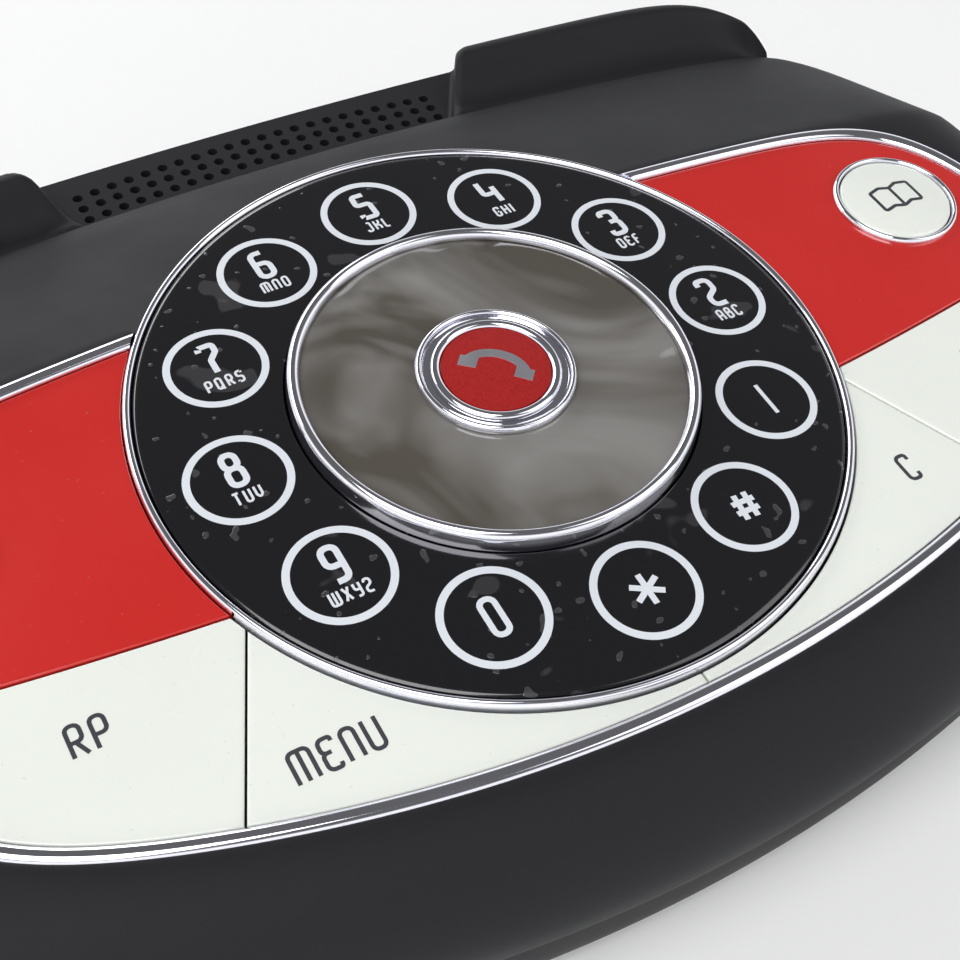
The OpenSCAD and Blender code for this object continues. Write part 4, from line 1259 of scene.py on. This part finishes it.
def hook_plunger():
    a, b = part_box("hook_plunger")
    at = ((a.x + b.x) / 2, (a.y + b.y) / 2)
    r = (b.x - a.x) / 2
    stem, shoulder = 1.2 * MM, 29 * MM
    corners = [(0, a.z, 0), (stem, a.z, 0.3 * MM), (stem, shoulder, 0.1 * MM), (r, shoulder, 0.3 * MM),
               (r, b.z - 0.9 * MM, 2.2 * MM), (r * 0.55, b.z, 2.0 * MM), (0, b.z, 0)]
    obj = turned("hook_button", rounded(corners, True, 6), at, 96, on_face=False)
    dress(smooth(obj, 40), jack_black, "hook_plunger_body", "inner_black", "hook_plunger")


def hook_spring():
    """Coil spring between the guide's floor and the plunger's shoulder."""
    a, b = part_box("hook_spring")
    x, y = (a.x + b.x) / 2, (a.y + b.y) / 2
    turns, per_turn, sides = 6, 24, 12
    steps = turns * per_turn
    coil_r = (b.x - a.x) / 2 - SPRING_WIRE
    rise = (b.z - a.z - 2 * SPRING_WIRE) / steps
    around = [2 * math.pi * k / sides for k in range(sides)]
    rings = []
    for i in range(steps + 1):
        t = 2 * math.pi * i / per_turn
        z = a.z + SPRING_WIRE + rise * i
        rings.append([(x + (coil_r + SPRING_WIRE * math.cos(s)) * math.cos(t),
                       y + (coil_r + SPRING_WIRE * math.cos(s)) * math.sin(t),
                       z + SPRING_WIRE * math.sin(s)) for s in around])
    coil = piece("hook_return_spring", *loft(rings), on_face=False)
    coil.data.shade_smooth()
    dress(coil, steel, BASE, "plated_steel", "hook_spring")
    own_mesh(coil)


def carried(node, mat, bevel):
    """A CAD node kept as it is, with its finish and slightly broken edges."""
    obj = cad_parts[node]
    obj.data.materials.clear()
    obj.data.materials.append(mat)
    weld = obj.modifiers.new("weld", "WELD")
    weld.merge_threshold = 2e-6
    broken = obj.modifiers.new("broken_edges", "BEVEL")
    broken.width = bevel * MM
    broken.segments = 2
    broken.limit_method = "ANGLE"
    broken.angle_limit = math.radians(40)


hook_plunger()
hook_spring()
CARRIED = (
    (drum_black, 0.25, "dial_housing"),
    (inner_black, 0.2, "display_frame", "key_frame", "hook_guide", "battery_tray", "microphone_boot",
     "ringer_switch_body"),
    (board, 0.1, "touch_board", "key_board_left", "key_board_right", "main_board"),
    (silicone, 0.15, "key_membrane_left", "key_membrane_right"),
    (display_glass, 0.15, "display_module"),
    (chip_black, 0.1, "main_processor", "hook_switch"),
    (sleeve, 0.4, "board_capacitors"),
    (cream, 0.15, "ribbon_connectors"),
    (steel, 0.15, "loudspeaker_frame", "loudspeaker_magnet", "microphone_capsule", "base_screws",
     "board_screws", "frame_screws", "steel_ballast"),
    (foam, 0.15, "loudspeaker_gasket"),
    (paper, 0.15, "loudspeaker_cone"),
    (jack_black, 0.25, "line_jack", "handset_jack", "power_jack"),
    (gold, 0.15, "power_jack_pin", "battery_contacts"),
    (knob_white, 0.3, "ringer_switch_knob"),
    (base_black, 0.35, "battery_door"),
    (cell_wrap, 0.5, "battery_cells"),
    (rubber, 0.4, "rubber_feet"),
)
for mat, bevel, *nodes in CARRIED:
    for node in nodes:
        carried(node, mat, bevel)


# ---- floor, light and finish
def add_floor():
    half, drop = 3.0, CAD_BOX[0][2]
    corners = [(x, y, drop) for x, y in box_points(-half, half, -half, half)]
    floor = piece("floor", corners, [(0, 1, 2, 3)], on_face=False)
    mat, tree, shader = material("floor_paper", (0.95, 0.95, 0.945), 0.75, specular=0.2)
    fibre = texture(tree, 14, Detail=3.0)
    tree.links.new(blended(tree, fibre, (0.94, 0.94, 0.938), (0.96, 0.96, 0.956)),
                   shader.inputs["Base Color"])
    floor.data.materials.append(mat)


def add_softbox(name, place, aim, size, power):
    data = bpy.data.lights.new(name, "AREA")
    data.shape = "RECTANGLE"
    data.size, data.size_y = size
    data.energy = power
    obj = bpy.data.objects.new(name, data)
    bpy.context.scene.collection.objects.link(obj)
    obj.location = place
    obj.rotation_euler = (Vector(aim) - Vector(place)).to_track_quat("-Z", "Y").to_euler()


def add_world(overhead, horizon):
    """White studio walls that fade to a darker ceiling."""
    world = bpy.data.worlds.new("studio")
    world.use_nodes = True
    tree = world.node_tree
    back = next(n for n in tree.nodes if n.type == "BACKGROUND")
    direction = tree.nodes.new("ShaderNodeTexCoord")
    parts = tree.nodes.new("ShaderNodeSeparateXYZ")
    tree.links.new(direction.outputs["Generated"], parts.inputs[0])
    tree.links.new(spread(tree, parts.outputs["Z"], horizon, overhead, 0.26, 0.55), back.inputs["Strength"])
    back.inputs["Color"].default_value = (0.97, 0.98, 1.0, 1)
    bpy.context.scene.world = world


add_floor()
add_world(0.13, 1.17)
add_softbox("key_softbox", (-0.75, -0.55, 1.35), (0, 0, 0.03), (1.3, 1.3), 19)
add_softbox("fill_softbox", (0.9, -0.8, 1.1), (0, 0, 0.03), (1.0, 1.0), 4.5)
add_softbox("rear_softbox", (-0.3, 1.15, 0.75), (0, 0.02, 0.03), (1.5, 0.4), 6.5)
bpy.context.scene.view_settings.view_transform = "Standard"
